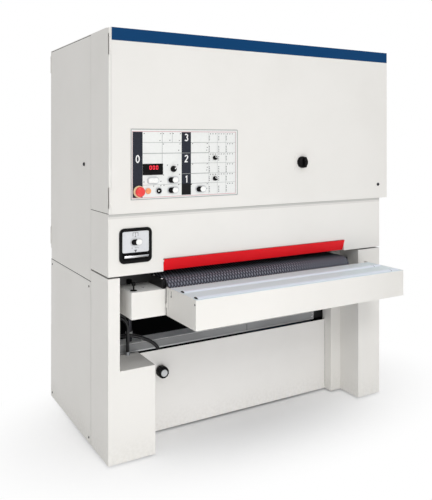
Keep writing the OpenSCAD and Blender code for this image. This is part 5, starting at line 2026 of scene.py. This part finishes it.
@dataclass
class Studio:
    """Camera, floor and light of the picture."""

    eye: Vec3 = (-1.922, -3.109, 1.525)
    turn: float = -30.37
    lens: float = 45.18
    drop: float = -0.220
    horizon: float = 0.786
    zenith: float = 0.594
    lamps: Tuple[Lamp, ...] = (Lamp("low_box", (-0.7, -2.2, 0.2), (0.3, 0.0, 0.2), 0.6, 10.0),
                               Lamp("high_box", (-0.6, -4.2, 3.6), (-0.2, 0.0, 1.1), 1.2, 46.0))

    def build(self) -> None:
        """Adds everything that is not the machine."""
        self.build_camera()
        self.build_world()
        for lamp in self.lamps:
            lamp.build()
        self.build_floor()

    def build_camera(self) -> None:
        """Adds the camera at the photograph's place."""
        data = bpy.data.cameras.new("camera")
        data.sensor_width = 36.0
        data.lens = self.lens
        data.shift_y = self.drop
        data.clip_end = 200.0
        camera = bpy.data.objects.new("camera", data)
        camera.location = self.eye
        camera.rotation_euler = (math.pi / 2, 0.0, math.radians(self.turn))
        bpy.context.scene.collection.objects.link(camera)
        bpy.context.scene.camera = camera

    def build_world(self) -> None:
        """Makes the background white for what sees it and a soft gradient for the light."""
        world = bpy.data.worlds.new("studio")
        world.use_nodes = True
        world.node_tree.nodes.clear()
        tree = Tree(world.node_tree)
        ray = tree.seen()
        coords = tree.add("ShaderNodeTexCoord").outputs["Generated"]
        height = tree.add("ShaderNodeSeparateXYZ", {0: coords}).outputs[2]
        glow = tree.add("ShaderNodeMapRange", {0: height, 1: 0.0, 2: 1.0, 3: self.horizon, 4: self.zenith})
        dim = tree.math("MULTIPLY", glow.outputs[0], tree.math("SUBTRACT", 1.0, ray))
        strength = tree.math("ADD", dim, ray)
        light = tree.add("ShaderNodeBackground", {"Color": (1.0, 1.0, 1.0, 1.0), "Strength": strength})
        tree.add("ShaderNodeOutputWorld", {"Surface": light.outputs[0]})
        bpy.context.scene.world = world

    def build_floor(self) -> None:
        """Adds the pale floor."""
        bm = bmesh.new()
        bmesh.ops.create_grid(bm, x_segments=1, y_segments=1, size=40.0)
        floor = mesh_object("floor", bm)
        finish = Backdrop("pale_floor", (0.97, 0.97, 0.97), roughness=0.9, specular=0.1,
                          dirt=(0.94, 0.94, 0.94), clouding=0.1, floor_dust=0.0, peel=0.0)
        floor.data.materials.append(finish.make())
        floor.location.z = CAD_BOX[0][2]


def main() -> None:
    """Builds the scene."""
    bpy.context.scene.view_settings.view_transform = "Standard"
    Studio().build()
    Hoses().build()
    Panelwork().build()
    fascia = Fascia()
    fascia.build()
    Controls(fascia).build()
    Station().build()
    Fasteners().build()
    Seams().build()
    bpy.context.view_layer.update()


if __name__ == "__main__":
    main()
